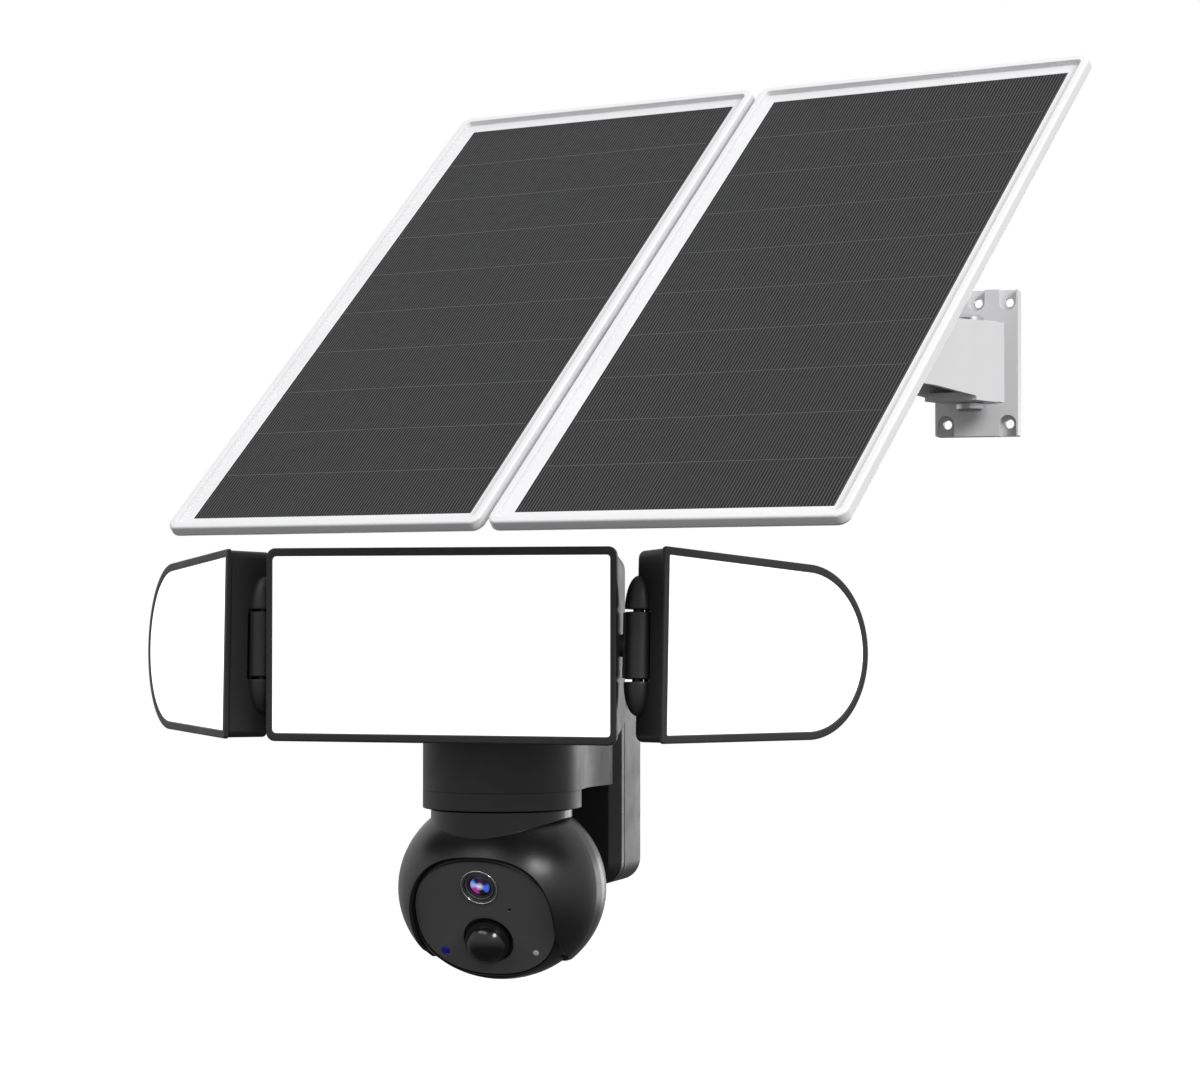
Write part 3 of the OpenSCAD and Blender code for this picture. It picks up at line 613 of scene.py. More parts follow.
MATERIALS = {
    "black_abs": moulded("black_abs", (0.019, 0.019, 0.0195), 0.48),
    "gloss_abs": moulded("gloss_abs", (0.0085, 0.0085, 0.009), 0.32, grain=0.03, depth=0.01),
    "face_plastic": moulded("face_plastic", (0.075, 0.075, 0.0755), 0.52),
    "white_plastic": moulded("white_plastic", (0.71, 0.71, 0.72), 0.42, grain=0.06, vary=0.02),
    "diffuser": lit_opal("diffuser"),
    "cell_laminate": solar_cells("cell_laminate"),
    "lens_glass": painted_reflection_lens("lens_glass"),
    "sensor_dome": moulded("sensor_dome", (0.006, 0.006, 0.0065), 0.14, grain=0.03, depth=0.01),
    "steel": metal("steel", (0.62, 0.62, 0.64), 0.3),
    "brass_gear": metal("brass_gear", (0.72, 0.52, 0.24), 0.28),
    "board_green": painted_board("board_green", (0.01, 0.12, 0.04)),
    "led_board": painted_board("led_board", (0.75, 0.75, 0.72)),
    "led": moulded("led", (0.85, 0.7, 0.2), 0.3, grain_size=0.2),
    "black_steel": metal("black_steel", (0.03, 0.03, 0.032), 0.4),
    "rubber": moulded("rubber", (0.018, 0.018, 0.018), 0.7, grain=0.5, grain_size=0.25),
    "cell_wrap": moulded("cell_wrap", (0.02, 0.08, 0.35), 0.3, grain=0.1),
    "bush": moulded("bush", (0.75, 0.7, 0.58), 0.4),
    "chrome_ring": metal("chrome_ring", (0.75, 0.75, 0.77), 0.16, brush=(1, 1, 1), vary=0.03),
    "status": moulded("status", (0.01, 0.01, 0.28), 0.25, grain=0.05),
    "status_grey": moulded("status_grey", (0.5, 0.5, 0.5), 0.3, grain=0.05),
    "cell_ribbon": metal("cell_ribbon", (0.13, 0.13, 0.13), 0.5),
    "lens_ring_grey": moulded("lens_ring_grey", (0.11, 0.11, 0.112), 0.35, grain=0.05),
}


def dress_cad_nodes():
    """Gives every carried-over CAD node the material of its slot."""
    for name, obj in NODES.items():
        obj.data.materials.clear()
        shade(obj, SLOT_OF[name])


def rounded_copy(name, node, body, width):
    """A CAD part with its tessellation cleaned and its edges rounded off."""
    bm = bmesh.new()
    bm.from_mesh(NODES[node].data)
    bmesh.ops.remove_doubles(bm, verts=bm.verts, dist=1e-6)
    bmesh.ops.dissolve_limit(bm, angle_limit=math.radians(1), verts=bm.verts, edges=bm.edges)
    bm.transform(Matrix.Scale(1 / MM, 4))
    obj = soften(to_object(name, bm), width)
    finish_piece(obj, WORLD_FRAME, body, node, SLOT_OF[node])


# ---- lamps ----

def diffuser(name, outline, front, corner):
    """Opal sheet that fills a lamp's rim, a little behind its front."""
    inset = RIM_W + 0.15
    return to_object(name, swept(outline, [
        (inset + 12, front + 3, 0, 1), (inset, front + 3, 0.3, corner),
        (inset, front + 0.3, 0.6, corner), (inset + 2.5, front + 0.25, 0, 1.2),
        (inset + 12, front + 0.15, 0, 1),
    ], xz))


def centre_lamp():
    back = LAMP_FRONT + LAMP_D
    obj = to_object("centre_lamp_casing", swept(centre_outline, [
        (9, back, 0, 3), (3, back, 1.6, 7), (0.4, LAMP_FRONT + 3.4, 0.3, 5),
        (0, LAMP_FRONT + 2.6, 0.3, 4), (0, LAMP_FRONT, 0.7, 4),
        (RIM_W, LAMP_FRONT, 0.35, 1.8), (RIM_W, LAMP_FRONT + 4.2, 0, 1.8),
        (RIM_W + 2.7, LAMP_FRONT + 4.2, 0, 1), (RIM_W + 3.7, back - WALL, 0, 1),
    ], xz))

    lug_low, lug_high = -22.7, 5.3
    end = [(LAMP_PIN_Y + LUG_R * math.cos(t), LAMP_PIN_Z - LAMP_Z + LUG_R * math.sin(t), 0)
           for t in (math.radians(a) for a in range(-75, 80, 15))]
    shape = polygon_outline([(back - 1, lug_low, 0)] + end + [(back - 1, lug_high, 0)])
    lug = swept(shape, [(1.5, -LUG_W / 2, 0, 0), (0, -LUG_W / 2, 0.8, 0),
                        (0, LUG_W / 2, 0.8, 0), (1.5, LUG_W / 2, 0, 0)], yz)
    carve(obj, lug, "UNION")

    for centre in four(60, 30):
        carve(obj, turned([(2.6, back - 0.8, 0), (3.4, back + 0.01, 0), (3.4, back + 1, 0)],
                          xz, centre, 24))
    vent_pitch, vent_z = 9, -33
    for k in range(-3, 4):
        carve(obj, swept(rect_outline(3, 7), [(0, back - 1, 0, 1.4), (0, back + 1, 0, 1.4)],
                         xz_about(k * vent_pitch, vent_z)))
    finish_piece(obj, LAMP, "centre_lamp", "centre_casing", "black_abs")

    sheet = diffuser("centre_lamp_diffuser", centre_outline, LAMP_FRONT, 1.8)
    finish_piece(sheet, LAMP, "centre_lamp", "centre_diffuser", "diffuser")


def lobe_shape():
    """Hinge lobes: rounded bosses turned about the pin, widest beside the barrel."""
    steps, straight, widest = 48, SLOT_H / 2, SLOT_R - 1.1
    profile = []
    for k in range(steps + 1):
        angle = math.pi * (k / steps - 0.5)
        z = math.copysign(straight + (LOBE_H / 2 - straight) * abs(math.sin(angle)), angle)
        profile.append((max(widest * math.cos(angle), TIP), z, 0))
    return turned(profile, xy, count=96)


def side_lamp(side):
    front, back = -SIDE_FACE, SIDE_D - SIDE_FACE
    at, body = side_frame(side), side + "_lamp"
    obj = to_object(side + "_lamp_casing", swept(side_outline, [
        (9, back, 0, 1), (0.6, back, 1.8, 3.4), (0.3, front + 2.6, 0.3, 3.4),
        (0, front + 1.9, 0.2, 1.4), (0, front, 0.6, 1.2), (RIM_W, front, 0.35, 0.8),
        (RIM_W, front + 4.2, 0, 0.8), (RIM_W + 2.7, front + 4.2, 0, 0.6),
        (RIM_W + 3.2, back - WALL, 0, 0.6),
    ], xz))
    carve(obj, lobe_shape(), "UNION")
    carve(obj, turned([(SLOT_R, -SLOT_H / 2, 0), (SLOT_R, SLOT_H / 2, 0)], xy))
    soften(obj, 0.3, angle=50)
    finish_piece(obj, at, body, side + "_casing", "black_abs")

    sheet = diffuser(side + "_lamp_diffuser", side_outline, front, 0.8)
    finish_piece(sheet, at, body, side + "_diffuser", "diffuser")


def hinge_pin(side):
    end, tip_r, taper = SIDE_PIN_L / 2, 1.2, 0.8
    obj = to_object(side + "_hinge_pin", turned([
        (TIP, -end, 0), (tip_r, -end, 0.2), (SIDE_PIN_R, taper - end, 0.3),
        (SIDE_PIN_R, end - taper, 0.3), (tip_r, end, 0.2), (TIP, end, 0),
    ], xy))
    finish_piece(obj, side_frame(side), side + "_lamp", side + "_pin", "black_steel")


def hinge_link(side):
    """Barrel round the side lamp's pin, with the neck and shaft that carry it."""
    half, bore = BARREL_H / 2, SIDE_PIN_R + 0.2
    obj = to_object(side + "_hinge_link", turned([
        (bore, half, 0), (4.7, half, 0.1), (4.9, half - 0.3, 0.1), (5.2, half, 0.1),
        (BARREL_R, half, 0.5), (BARREL_R, -half, 0.5), (bore, -half, 0),
    ], xy, loop=True))
    carve(obj, block((-6.1, -4, -half + 0.3), (-3.2, 4, half - 0.3), 0.6, 0.4), "UNION")
    shaft_end = -19.5
    for radius, start in ((5, -4.5), (7, -17.9)):
        carve(obj, turned([(radius, shaft_end, 0.3), (radius, start, 0.3)], yz), "UNION")
    finish_piece(obj, link_frame(side), side + "_hinge", side + "_link", "black_abs")


# ---- wall box and neck ----

def wall_box():
    outline = rect_outline(BOX_W, BOX_H)
    seat, rim = -2.4, 4
    bm = bmesh.new()
    sweep(bm, outline, [
        (WALL + 1.5, seat - WALL, 0, 8), (WALL, seat - WALL, 1, 9), (WALL, -REAR_D, 0.3, 9),
        (0.35, -REAR_D, 0.2, BOX_R), (0, -REAR_D + 0.6, 0.2, BOX_R), (0, 0, 0.8, BOX_R),
        (rim, 0, 0, 8),
    ], xz, caps=(True, False))
    back = [xz(u, v, 0.0) for u, v in rounded_rect(BOX_W - 2 * rim, BOX_H - 2 * rim, 8)]
    mouth = [[xz(u, v, depth) for u, v in rounded_rect(PLATE_W + 0.4, PLATE_H + 0.4, PLATE_R + 0.2)]
             for depth in (0, seat)]
    add_rings(bm, [back] + mouth, caps=(False, True))
    obj = to_object("wall_box_rear", bm)
    low = -BOX_H / 2
    for x, radius in ((-PORT_X, 5.05), (PORT_X, 4.1)):
        carve(obj, turned([(radius + 0.5, low - 1, 0), (radius + 0.5, low, 0),
                           (radius, low + 0.5, 0), (radius, low + 4, 0)], xy, (x, PORT_Y), 48))
    for centre in four(*CASE_SCREW):
        carve(obj, turned([(3, -3, 0), (3, -0.3, 0), (3.4, 1, 0)], xz, centre, 32))
    finish_piece(obj, WORLD_FRAME, "base", "rear_shell", "black_abs")

    front = -REAR_D - COVER_D
    bm = bmesh.new()
    sweep(bm, outline, [
        (WALL, -REAR_D, 0, 9), (0.35, -REAR_D, 0.2, BOX_R), (0, -REAR_D - 0.6, 0.2, BOX_R),
        (0, -REAR_D - 5, 1.2, BOX_R), (5, front, 1.0, 6.5), (16, front, 0, 3),
    ], xz, caps=(False, True))
    hollow = ((WALL, -REAR_D, 9), (7, front + WALL + 1, 5), (8, front + WALL, 5))
    inside = [[xz(u, v, depth) for u, v in outline(inset, corner)] for inset, depth, corner in hollow]
    add_rings(bm, inside, caps=(False, True))
    finish_piece(to_object("wall_box_cover", bm), WORLD_FRAME, "base", "front_cover", "black_abs")


def neck():
    """Housing from the wall box to the pan axis, and the cap that closes it below its seam."""
    chamfer = 0.12
    obj = to_object("neck_housing_shell", swept(neck_outline, [
        (WALL, SEAM_Z + 6, 0, 0.8), (WALL, SEAM_Z, 0.3, 0.8), (chamfer, SEAM_Z, 0.05, 1),
        (0, SEAM_Z + chamfer, 0.05, 1), (0, NECK_TOP, 1.0, 1), (3, NECK_TOP, 0, 1),
    ], xy))
    finish_piece(obj, WORLD_FRAME, "base", "neck_housing", "black_abs")

    bore, recess_r, floor, plate_top = 9.2, 30, 1.6, 4
    obj = to_object("neck_cap_ring", turned([
        (bore, floor, 0), (recess_r, floor, 0.5), (recess_r, RIM_Z, 0.3),
        (NECK_R, RIM_Z, 0.6), (NECK_R, SEAM_Z - chamfer, 0.05),
        (NECK_R - chamfer, SEAM_Z, 0.05), (NECK_R - WALL - 0.1, SEAM_Z, 0),
        (NECK_R - WALL - 0.1, plate_top, 0), (bore, plate_top, 0),
    ], xy, (0, -PAN_Y), 160, loop=True))
    finish_piece(obj, WORLD_FRAME, "base", "neck_cap", "black_abs")


def wall_side():
    """Steel plate and screws on the wall box's back."""
    holes = [circle(2.4, x, z, 32) for x, z in four(*PLATE_SCREW)]
    steel = plate(rounded_rect(PLATE_W, PLATE_H, PLATE_R), holes, -PLATE_T, 0, 0.3, xz)
    finish_piece(to_object("steel_wall_plate", steel), WORLD_FRAME, "base", "mount_plate", "steel")

    centres, head_top = four(*CASE_SCREW), -0.8
    bm = bmesh.new()
    for centre in centres:
        lathe(bm, [(TIP, -REAR_D - 6, 0), (1.5, -REAR_D - 5, 0.2), (1.5, -3, 0), (2.8, -3, 0.1),
                   (2.8, -1.4, 0.5), (1.8, head_top, 0.6), (TIP, head_top, 0)], xz, centre, 40)
    obj = to_object("case_screw_heads", bm)
    for w, h in ((1.7, 0.7), (0.7, 1.7)):
        for x, z in centres:
            carve(obj, block((x - w, head_top - 1, z - h), (x + w, head_top + 2, z + h), 0.1, 0.05))
    finish_piece(obj, WORLD_FRAME, "base", "case_screws", "steel")


def ports():
    """Charging socket and power button on the wall box's underside."""
    low = -BOX_H / 2
    obj = to_object("charge_socket", turned([
        (5, low + 11, 0.3), (5, low - 0.6, 0.4), (3.3, low - 0.6, 0.2),
        (2.8, low + 0.2, 0.1), (2.8, low + 9, 0), (1.1, low + 9, 0), (1.1, low + 1.4, 0.4),
        (TIP, low + 1.1, 0),
    ], xy, (-PORT_X, PORT_Y)))
    finish_piece(obj, WORLD_FRAME, "base", "charge_inlet", "rubber")

    obj = to_object("power_button_cap", turned([
        (TIP, low + 3.6, 0), (5.4, low + 3.6, 0.2), (5.4, low + 2.6, 0.2),
        (4, low + 2.6, 0.1), (4, low - 1.2, 0.6), (2.6, low - 1.2, 0.2),
        (2.3, low - 0.9, 0.2), (TIP, low - 0.8, 0),
    ], xy, (PORT_X, PORT_Y)))
    finish_piece(obj, WORLD_FRAME, "button", "power_button", "rubber")


# ---- camera ball ----

class BallSurface:
    """The head's ball, moved outwards by a gap: half width a along the tilt axis, radius b about it."""

    def __init__(self, gap):
        self.a, self.b = HEAD_A + gap, HEAD_R + gap

    def squash(self, angle):
        """Inverse square of the ball's radius in a direction, at an angle from the tilt axis."""
        return (math.cos(angle) / self.a) ** 2 + (math.sin(angle) / self.b) ** 2

    def reach(self, angle, depth):
        """Distance from the middle axis to the surface, at a depth along that axis."""
        return math.sqrt(max(1 - (depth / self.b) ** 2, 0) / self.squash(angle))

    def depth(self, angle, reach):
        """Depth along the middle axis at which the surface is at a distance from it."""
        return self.b * math.sqrt(max(1 - reach * reach * self.squash(angle), 0))

    def arc(self, angle, first, last, steps):
        """Profile points strictly between two depths, evenly turned."""
        t0, t1 = math.acos(max(-1, min(1, first / self.b))), math.acos(max(-1, min(1, last / self.b)))
        depths = [self.b * math.cos(t0 + (t1 - t0) * k / steps) for k in range(1, steps)]
        return [(self.reach(angle, depth), depth, 0) for depth in depths]


def hood_edge():
    """Right half of the hood's lower edge, from the front centre to the back: (azimuth, height).

    It follows the face's outline at a distance, then drops to the ears' tips and runs level.
    """
    outside = BallSurface(BALL_GAP + HOOD_T)
    a, b = outside.a, outside.b
    c, s = math.cos(math.radians(FACE_DOWN)), math.sin(math.radians(FACE_DOWN))
    half, top = FACE_A + 1.3, FACE_B + 3.3
    steps, drop_step, drop_steps = 46, 0.8, 44
    flat = [(oval_radius(t, half, top) * math.cos(t), oval_radius(t, half, top) * math.sin(t))
            for t in (math.pi / 2 * (1 - k / steps) for k in range(steps + 1))]
    flat += [(half, -drop_step * k) for k in range(1, drop_steps + 1)]
    edge = []
    for u, v in flat:
        depth = -math.sqrt(max(b * b * (1 - u * u / (a * a)) - v * v, 0))
        y, z = depth * c - v * s, depth * s + v * c
        if z < -EAR_DROP + 2.2:
            break
        edge.append((math.atan2(u, -y), z))

    last_azimuth, last_z = edge[-1]
    tip = last_azimuth + 0.05
    corner = [(last_azimuth * a, last_z, 0), (tip * a, -EAR_DROP, 1.6),
              ((tip + 0.12) * a, -EAR_DROP, 0)]
    edge += [(x / a, z) for x, z in fillet(corner, steps=6)[1:]]
    start, steps = edge[-1][0], 60
    edge += [(start + (math.pi - start) * k / steps, -EAR_DROP) for k in range(1, steps + 1)]
    return edge


def yoke_hood():
    """Hood over the ball with a collar and a stem, as one closed profile per azimuth from the front."""
    outside, inside = BallSurface(BALL_GAP + HOOD_T), BallSurface(BALL_GAP)
    collar_z = RIM_Z - 0.3 - BALL.translation.z / MM
    right = hood_edge()
    stations = right + [(math.tau - azimuth, low) for azimuth, low in reversed(right[1:-1])]
    rings = []
    for azimuth, low in stations:
        side, front = math.sin(azimuth), math.cos(azimuth)
        angle = math.pi / 2 - azimuth
        collar = 1 / math.hypot(side / COLLAR_R, front / (COLLAR_FRONT if front > 0 else COLLAR_R))
        stem_z, low_inside = outside.depth(angle, STEM_R), low + 0.001
        top_inside = inside.depth(angle, STEM_BORE)
        profile = [(STEM_BORE, STEM_TOP, 0), (STEM_R, STEM_TOP, 0.5), (STEM_R, stem_z, 0)]
        profile += outside.arc(angle, stem_z, collar_z, 5)
        profile += [(outside.reach(angle, collar_z), collar_z, 0.2), (collar, collar_z, 0.5),
                    (collar, outside.depth(angle, collar), 0.5)]
        profile += outside.arc(angle, outside.depth(angle, collar), low, 26)
        profile += [(outside.reach(angle, low), low, 0.45),
                    (inside.reach(angle, low_inside), low_inside, 0.3)]
        profile += inside.arc(angle, low_inside, top_inside, 26) + [(STEM_BORE, top_inside, 0)]
        rings.append([(rho * side, -rho * front, z) for rho, z in fillet(profile, steps=ROUND_STEPS)])
    bm = bmesh.new()
    add_rings(bm, rings, loop=True)
    finish_piece(to_object("yoke_hood_shell", bm), BALL, "yoke", "yoke_hood", "gloss_abs")


def head():
    """Ball with a flat front: turned about the face's axis, hollow inside."""
    outside, inside = BallSurface(0), BallSurface(-HEAD_WALL)
    land, seat, ledge = -FACE_D - 0.5, -FACE_D + FACE_T, 4
    count = 192
    rings = []
    for i in range(count):
        angle = math.tau * i / count
        rim = oval_radius(angle, FACE_A, FACE_B) + 0.1
        profile = [(0.2, outside.b, 0)] + outside.arc(angle, outside.b, land, 44)
        profile += [(outside.reach(angle, land), land, 0.45), (rim, land, 0.25), (rim, seat, 0),
                    (rim - ledge, seat, 0), (rim - ledge, seat + 3, 0)]
        profile += inside.arc(angle, seat + 5, inside.b, 24) + [(0.2, inside.b, 0)]
        rings.append([(rho * math.cos(angle), depth, rho * math.sin(angle))
                      for rho, depth in fillet(profile, steps=3)])
    bm = bmesh.new()
    add_rings(bm, list(zip(*rings)))
    obj = to_object("head_ball", bm)
    pocket = block((CARD_X - CARD_W / 2, -CARD_D / 2, -50),
                   (CARD_X + CARD_W / 2, CARD_D / 2, -39.4), 1.2)
    pocket.transform(turn(-FACE_DOWN, "X"))
    carve(obj, pocket)
    soften(obj, 0.2, angle=50)
    finish_piece(obj, HEAD, "head", "head_shell", "gloss_abs")


def face_plate():
    holes = [circle(9, 0, LENS_V, 64), circle(12, 0, PIR_V, 72), circle(0.75, *MIC_PLACE, 16),
             circle(2, -LIGHT_U, LIGHT_V, 32), circle(1.5, LIGHT_U, LIGHT_V, 32)]
    front = plate(oval(FACE_A - 0.2, FACE_B - 0.2), holes, -FACE_D, -FACE_D + FACE_T, 0.45, xz)
    finish_piece(to_object("face_plate_flat", front), HEAD, "head", "face_plate", "face_plastic")


def lens():
    """Bright ring, stepped barrel with grey ridges, and the glass."""
    front, back = -FACE_D, -FACE_D + FACE_T
    at = HEAD @ shift(0, 0, LENS_V)
    obj = to_object("lens_bezel_ring", turned([
        (8.2, back, 0), (9, back, 0), (9, front - 0.6, 0.3), (8.35, front - 0.6, 0.25),
        (8.2, front + 0.4, 0),
    ], count=96, loop=True))
    finish_piece(obj, at, "head", "lens_ring", "chrome_ring")

    barrel_r = 8.18
    obj = to_object("lens_barrel_rings", turned([
        (barrel_r, -11, 0.4), (barrel_r, front - 0.1, 0.2), (7.6, front - 0.25, 0.15),
        (7.3, front + 0.5, 0.1), (6.9, front + 0.55, 0.1), (6.8, front + 0.1, 0.12),
        (6.45, front + 0.1, 0.12), (6.3, front + 0.9, 0.1), (5.9, front + 0.95, 0.1),
        (5.8, front + 0.5, 0.12), (5.4, front + 0.55, 0.12), (5.2, front + 1.8, 0),
        (GLASS_R, front + 2.4, 0), (GLASS_R, -14, 0),
    ], count=96))
    ridges = ((5.65, 5.95), (6.3, 6.95), (7.75, barrel_r + 0.1))
    for polygon in obj.data.polygons:
        radius = math.hypot(polygon.center.x, polygon.center.z) / MM
        polygon.material_index = int(any(low < radius < high for low, high in ridges))
    finish_piece(obj, at, "head", "lens_barrel", "black_abs", "lens_ring_grey")

    glass_edge, bulge, steps = GLASS_R + 0.15, 1.1, 14
    dome = [(glass_edge * math.sin(t), front + 1.7 - bulge * math.cos(t), 0)
            for t in (math.pi / 2 * (1 - k / steps) for k in range(steps))]
    glass = turned([(glass_edge, front + 2.3, 0), *dome, (TIP, front + 0.6, 0)], count=72)
    finish_piece(to_object("lens_front_element", glass), at, "head", "lens_glass", "lens_glass",
                 own_frame=True)


def motion_sensor():
    front, back = -FACE_D, -FACE_D + FACE_T
    centre, collar_r, steps = front - 0.6, 11.85, 48
    dome = [(PIR_R * math.sin(t), centre - PIR_R * math.cos(t), 0)
            for t in (math.radians(90) * (1 - k / steps) for k in range(steps))]
    obj = to_object("motion_sensor_dome", turned([
        (collar_r, back, 0), (collar_r, front + 1.5, 0.2), (PIR_R + 0.1, front + 1.5, 0.2),
        *dome, (TIP, centre - PIR_R, 0),
    ], count=128))
    finish_piece(obj, HEAD @ shift(0, 0, PIR_V), "head", "motion_dome", "sensor_dome")


def status_lights():
    front, back = -FACE_D, -FACE_D + FACE_T
    bm = bmesh.new()
    for x, radius in ((-LIGHT_U, 1.95), (LIGHT_U, 1.45)):
        lathe(bm, [(radius, back, 0), (radius, front - 0.1, 0.3), (radius * 0.5, front - 0.28, 0.2),
                   (TIP, front - 0.3, 0)], xz, (x, LIGHT_V), 32)
    obj = to_object("status_light_caps", bm)
    for polygon in obj.data.polygons:
        polygon.material_index = 0 if polygon.center.x < 0 else 1
    finish_piece(obj, HEAD, "head", "status_lights", "status", "status_grey")


# ---- solar unit ----

def add_ribbon(bm, y, wide, top, phase):
    """Thin raised contact ribbon across a solar panel, slightly wavy; its faces take material 1."""
    steps, half, foot, rise, sway = 60, 0.19, 0.02, 0.04, 0.12
    rows = []
    wave = [(-wide + 2 * wide * i / steps, y + sway * math.sin(i * 0.9 + phase))
            for i in range(steps + 1)]
    for across, z in ((-half - foot, top), (-half, top + rise), (half, top + rise), (half + foot, top)):
        rows.append([bm.verts.new((u, v + across, z)) for u, v in wave])
    for a, b in zip(rows, rows[1:]):
        for i in range(steps):
            bm.faces.new((a[i], a[i + 1], b[i + 1], b[i])).material_index = 1


def solar_panel(side):
    at = panel_frame(side)
    outline = rect_outline(PANEL_W, PANEL_L)
    sheet = SHEET_T - LIP_H - SHEET_SINK
    obj = to_object(side + "_panel_frame", swept(outline, [
        (16, -PANEL_T + 0.8, 0, 1), (13, -PANEL_T + 0.8, 0.4, 1), (12, -PANEL_T, 0.4, 2),
        (0, -PANEL_T, 2, 4.5), (0, 0, 1.0, 5), (LIP_W, 0, 0.35, 2.6),
        (LIP_W, sheet, 0.15, 2.4), (FRAME_W - 0.4, sheet, 0.1, 0.8),
        (FRAME_W, sheet - 0.2, 0.05, 0.4), (FRAME_W, -PANEL_T + 1.8, 0, 0.4),
    ], xy))
    finish_piece(obj, at, "panels", side + "_frame", "white_plastic")

    top = sheet - 0.25
    bm = bmesh.new()
    sweep(bm, outline, [(FRAME_W + 0.05, -4, 0, 0.3), (FRAME_W + 0.05, top, 0.05, 0.3),
                        (FRAME_W + 0.3, top, 0, 0.2)], xy)
    cell_rows, margin = 10, 1.5
    for k in range(1, cell_rows):
        y = -PANEL_L / 2 + FRAME_W + (PANEL_L - 2 * FRAME_W) * k / cell_rows
        add_ribbon(bm, y, PANEL_W / 2 - FRAME_W - margin, top, k)
    finish_piece(to_object(side + "_panel_cells", bm), at, "panels", side + "_cells", "cell_laminate",
                 "cell_ribbon", own_frame=True)


def hex_socket(obj, low, high, place):
    """Cuts the socket for a hexagon key into a bolt head."""
    carve(obj, turned([(2.9, low, 0), (2.9, high, 0)], place, count=6))


def knurled_knob():
    """White hand nut with grip grooves and a wing, and the bolt that it turns on."""
    inner, outer, knob_r, grooves = 13, 22, 10, 20
    obj = to_object("tilt_knob", turned([
        (TIP, inner, 0), (9.2, inner, 0.3), (knob_r, inner + 1, 0.5),
        (knob_r, outer - 1, 0.9), (8.6, outer, 0.6), (5, outer, 0.3), (4.6, 21.4, 0.2),
        (TIP, 21.4, 0),
    ], yz, count=96))
    for k in range(grooves):
        angle = math.tau * k / grooves
        centre = (10.35 * math.cos(angle), 10.35 * math.sin(angle))
        carve(obj, turned([(0.9, inner - 0.5, 0), (0.9, outer + 0.5, 0)], yz, centre, 16))
    carve(obj, block((14.5, -2.5, -15), (20.5, 2.5, 15), 1.2, 1.5), "UNION")
    finish_piece(obj, TILT, "panels", "tilt_bolt", "white_plastic")

    obj = to_object("tilt_bolt_shank", turned([
        (TIP, -17.5, 0), (5.2, -17.5, 0.3), (BOLT_HEAD, -16.6, 0.4),
        (BOLT_HEAD, -inner, 0.2), (BOLT_R, -inner, 0), (BOLT_R, inner, 0), (TIP, inner, 0),
    ], yz, count=72))
    hex_socket(obj, -18, -15.4, yz)
    finish_piece(obj, TILT, "panels", "tilt_bolt", "steel")


def swivel_bolt():
    half = 19.3
    obj = to_object("swivel_bolt_heads", turned([
        (TIP, -23, 0), (5.4, -23, 0.4), (BOLT_HEAD, -22, 0.4), (BOLT_HEAD, -half, 0.2),
        (BOLT_R, -half, 0), (BOLT_R, half, 0), (BOLT_HEAD, half, 0.2),
        (BOLT_HEAD, 21.2, 0.5), (4.6, 22.5, 0.7), (TIP, 22.5, 0),
    ], xy, count=72))
    hex_socket(obj, -24, -21.2, xy)
    hex_socket(obj, 20.6, 24, xy)
    finish_piece(obj, joint_place("arm_swivel"), "base", "swivel_bolt", "steel")


def solar_mount():
    rounded_copy("solar_wall_plate", "bracket_plate", "base", 0.5)
    rounded_copy("solar_arm", "bracket_arm", "arm", 0.9)
    rounded_copy("panel_head_fork", "panel_head", "panels", 0.7)
    rounded_copy("panel_rail_bar", "panel_rail", "panels", 0.5)
    rounded_copy("junction_box_pair", "junction_boxes", "panels", 1.0)
    swivel_bolt()
    knurled_knob()


# ---- stage ----

def make_camera():
    data = bpy.data.cameras.new("camera")
    data.lens = 96
    data.sensor_width = 36
    camera = bpy.data.objects.new("camera", data)
    camera.location = (0.4972, -1.517, 0.0881)
    camera.rotation_euler = (math.radians(90 + 1.3), 0, math.radians(17.5))
    bpy.context.scene.collection.objects.link(camera)
    bpy.context.scene.camera = camera


def soft_box(name, place, aim, size, power, for_gloss_only=False):
    data = bpy.data.lights.new(name, "AREA")
    data.shape = "RECTANGLE"
    data.size, data.size_y = size
    data.energy = power
    light = bpy.data.objects.new(name, data)
    light.location = place
    light.rotation_euler = (Vector(aim) - Vector(place)).to_track_quat("-Z", "Y").to_euler()
    light.visible_camera = False
    light.visible_diffuse = not for_gloss_only
    bpy.context.scene.collection.objects.link(light)


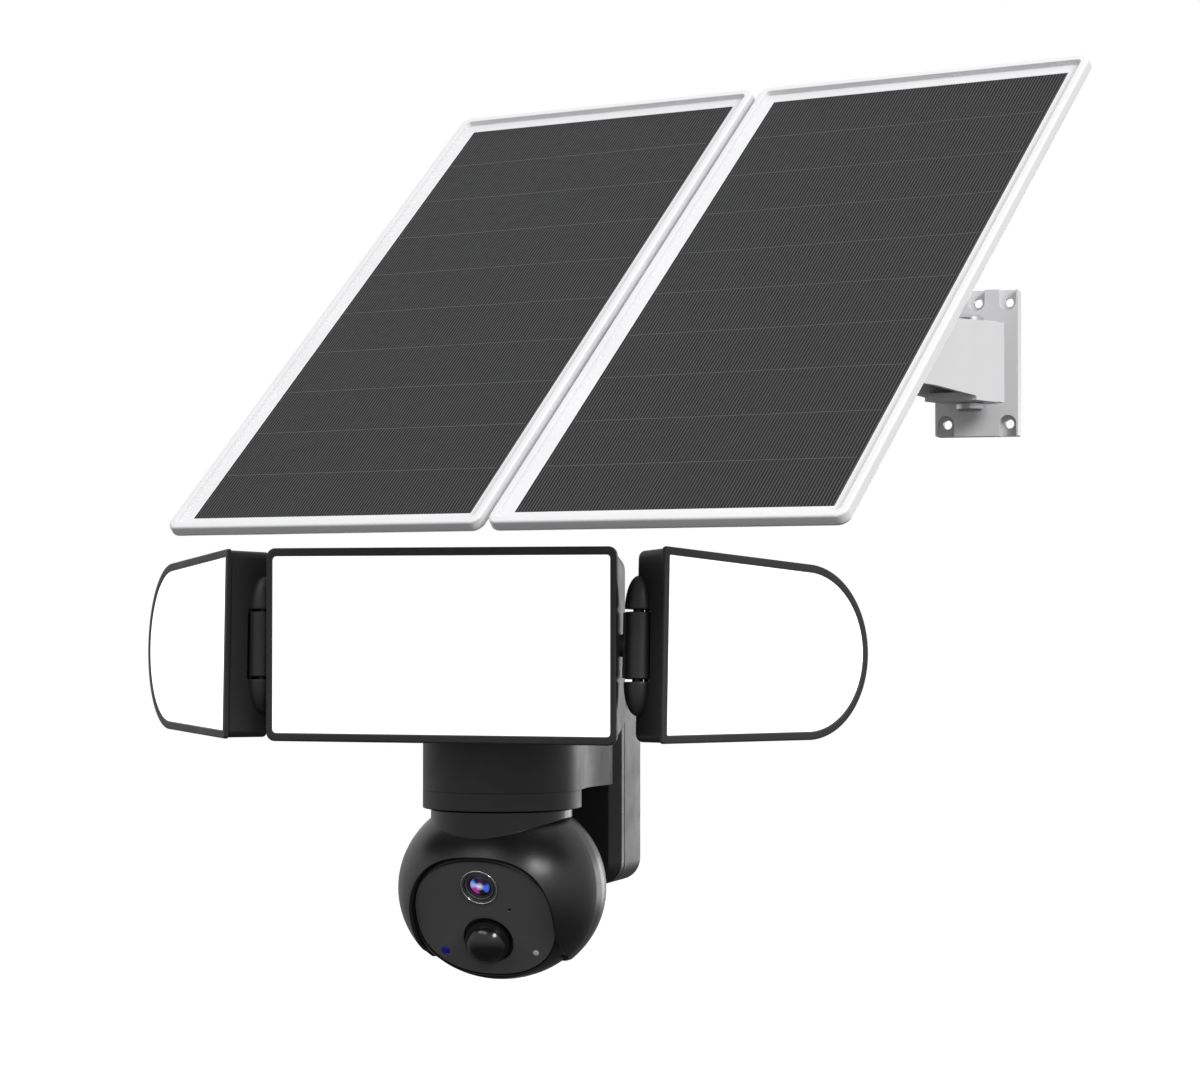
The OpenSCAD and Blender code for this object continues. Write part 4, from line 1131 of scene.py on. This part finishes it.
def backdrop():
    """World that lights the part from above and looks plain white."""
    scene = bpy.context.scene
    scene.view_settings.view_transform = "Standard"
    world = bpy.data.worlds.new("studio")
    world.use_nodes = True
    scene.world = world
    nodes, links = world.node_tree.nodes, world.node_tree.links
    kinds = ("TexCoord", "SeparateXYZ", "MapRange", "ValToRGB", "LightPath", "Mix")
    coords, split, spread, ramp, rays, mix = (nodes.new("ShaderNode" + kind) for kind in kinds)
    spread.inputs["From Min"].default_value = -1
    low, high = ramp.color_ramp.elements
    low.position, high.position = 0.25, 0.6
    low.color, high.color = (0.09, 0.09, 0.09, 1), (0.8, 0.8, 0.8, 1)
    mix.data_type = "RGBA"
    mix.inputs[MIX_B].default_value = (1, 1, 1, 1)
    links.new(coords.outputs["Generated"], split.inputs["Vector"])
    links.new(split.outputs["Z"], spread.inputs["Value"])
    links.new(spread.outputs["Result"], ramp.inputs["Fac"])
    links.new(rays.outputs["Is Camera Ray"], mix.inputs[MIX_FACTOR])
    links.new(ramp.outputs["Color"], mix.inputs[MIX_A])
    links.new(mix.outputs[MIX_RESULT], nodes["Background"].inputs["Color"])


def lights():
    middle = (0, -0.1, 0.08)
    soft_box("key", (-0.6, -1.7, 1.9), middle, (1.8, 0.8), 14)
    soft_box("right", (1.75, -1.3, 1.25), middle, (0.7, 0.7), 32)
    soft_box("back", (0.9, 2.4, -0.1), (0.1, 0, 0), (0.9, 0.8), 9.5, for_gloss_only=True)


def pale_floor():
    bm = bmesh.new()
    bmesh.ops.create_grid(bm, x_segments=24, y_segments=24, size=6000)
    floor = to_object("floor", bm)
    floor.location = (0, 0, -0.42)
    s = Shader("pale_floor", (0.9, 0.9, 0.9), 0.6)
    s.use("Base Color", s.drift(s.noise(3, 2), (0.9, 0.9, 0.9), (0.93, 0.93, 0.93)))
    s.bsdf.inputs["Emission Color"].default_value = (1, 1, 1, 1)
    s.bsdf.inputs["Emission Strength"].default_value = 0.3
    floor.data.materials.append(s.material)
    floor.visible_diffuse = False
    floor.visible_glossy = False


make_camera()
backdrop()
lights()
pale_floor()
dress_cad_nodes()
centre_lamp()
for side in ("right", "left"):
    side_lamp(side)
    hinge_pin(side)
    hinge_link(side)
    solar_panel(side)
wall_box()
wall_side()
ports()
neck()
rounded_copy("lamp_bracket_ears", "lamp_bracket", "base", 0.8)
rounded_copy("lamp_pivot_bolt", "lamp_pivot_pin", "base", 0.5)
yoke_hood()
head()
face_plate()
lens()
motion_sensor()
status_lights()
rounded_copy("card_slot_cover", "card_cover", "head", 0.3)
solar_mount()
